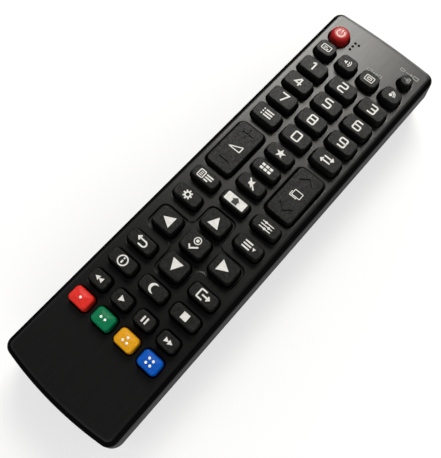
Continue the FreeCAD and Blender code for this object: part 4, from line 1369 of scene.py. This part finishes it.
FLOOR_REACH = 0.85
FLOOR_DROP = 0.0001
CAMERA_SPOT = (0.031702, -0.055848, 0.176081)
CAMERA_RIGHT = Vector((0.75042007, 0.65976633, 0.03972549))
CAMERA_DOWN = Vector((0.6359662, -0.70436475, -0.31530508))
CAMERA_AHEAD = Vector((-0.18004644, 0.26187534, -0.94815852))
CAMERA_LENS = 40.087


def pale_floor(colour):
    """A floor that glows for the camera and in reflections, and is plain for all other light."""
    def maker(n, shader):
        rays = n.node("ShaderNodeLightPath").outputs
        seen = n.math("MAXIMUM", rays["Is Camera Ray"], rays["Is Glossy Ray"])
        seen = n.math("MAXIMUM", seen, rays["Is Transmission Ray"])
        glow = n.blend(seen, (0.0, 0.0, 0.0, 1.0), (0.54, 0.54, 0.54, 1.0))
        n.fit(shader, Base_Color=n.blend(seen, colour, shade(colour, 0.5)), Emission_Color=glow,
              Emission_Strength=1.0, Roughness=0.9, Specular_IOR_Level=0.1)

    return material("pale_floor", maker)


def lamp(name, power, spot, size, size_y=None, target=(0.0, 0.0, 0.0), tint=(1.0, 1.0, 1.0)):
    light = bpy.data.lights.new(name, "AREA")
    light.energy = power
    light.color = tint
    light.size = size
    if size_y:
        light.shape = "RECTANGLE"
        light.size_y = size_y
    thing = new_object(name, light)
    thing.location = spot
    thing.rotation_euler = (Vector(target) - Vector(spot)).to_track_quat("-Z", "Y").to_euler()


def studio_world():
    """A world that is bright near the horizon and dark overhead."""
    world = bpy.data.worlds.new("studio")
    world.use_nodes = True
    n = Nodes(world.node_tree)
    height = n.split(n.node("ShaderNodeTexCoord").outputs["Generated"])["Z"]
    rise = n.node("ShaderNodeMapRange", {"interpolation_type": "SMOOTHSTEP"}, Value=height,
                  From_Min=0.12, From_Max=0.74, To_Min=2.5, To_Max=0.03)
    n.fit(world.node_tree.nodes["Background"], Color=(1.0, 1.0, 1.0, 1.0), Strength=rise.outputs[0])
    return world


class REMOTE_OT_stage(Operator):
    """Set the pale floor, the lamps and the camera"""
    bl_idname = "remote.stage"
    bl_label = "Stage"

    def execute(self, context):
        settings = context.scene.remote_stage
        scene = context.scene
        bm = bmesh.new()
        bmesh.ops.create_grid(bm, x_segments=1, y_segments=1, size=FLOOR_REACH)
        bmesh.ops.translate(bm, verts=bm.verts, vec=(0.0, 0.0, -FLOOR_DROP))
        mesh = bpy.data.meshes.new("floor")
        bm.to_mesh(mesh)
        bm.free()
        mesh.materials.append(pale_floor(settings.floor_colour))
        floor = new_object("floor", mesh)

        lamp("emitter_end_lamp", settings.key_lamp, spot=(-0.305, 0.555, 0.605), size=0.40, size_y=0.34,
             target=(0.0, 0.06, 0.0), tint=(1.0, 0.98, 0.92))
        lamp("hand_end_lamp", settings.fill_lamp, spot=(0.60, -0.68, 0.36), size=1.4)
        scene.world = studio_world()

        data = bpy.data.cameras.new("photo_camera")
        data.sensor_fit = "AUTO"
        data.sensor_width = 36.0
        data.lens = CAMERA_LENS
        data.clip_start = 0.005
        camera = new_object("photo_camera", data)
        turn = Matrix((CAMERA_RIGHT, -CAMERA_DOWN, -CAMERA_AHEAD)).transposed()
        camera.matrix_world = Matrix.Translation(CAMERA_SPOT) @ turn.to_4x4()
        scene.camera = camera
        scene.view_settings.view_transform = "Standard"
        return {"FINISHED"}


STEPS = ("top_housing", "base", "cover", "keys", "prints", "dots", "window", "inside", "stage")
SETTINGS = {
    "remote_housing": HousingSettings, "remote_keys": KeySettings, "remote_stage": StageSettings,
}


class REMOTE_PT_looks(Panel):
    bl_label = "Remote Control"
    bl_space_type = "VIEW_3D"
    bl_region_type = "UI"
    bl_category = "Remote"

    def draw(self, context):
        layout = self.layout
        for name in SETTINGS:
            group = getattr(context.scene, name)
            box = layout.box()
            for label in group.bl_rna.properties.keys():
                if label not in ("rna_type", "name"):
                    box.prop(group, label)
        for step in STEPS:
            layout.operator("remote." + step)


CLASSES = (
    *SETTINGS.values(), REMOTE_OT_top_housing, REMOTE_OT_base, REMOTE_OT_cover, REMOTE_OT_keys,
    REMOTE_OT_prints, REMOTE_OT_dots, REMOTE_OT_window, REMOTE_OT_inside, REMOTE_OT_stage,
    REMOTE_PT_looks,
)


def register():
    for one in CLASSES:
        bpy.utils.register_class(one)
    for name, group in SETTINGS.items():
        setattr(bpy.types.Scene, name, PointerProperty(type=group))


def unregister():
    for name in SETTINGS:
        delattr(bpy.types.Scene, name)
    for one in reversed(CLASSES):
        bpy.utils.unregister_class(one)


def main():
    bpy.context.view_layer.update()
    register()
    for step in STEPS:
        getattr(bpy.ops.remote, step)()


if __name__ == "__main__":
    main()
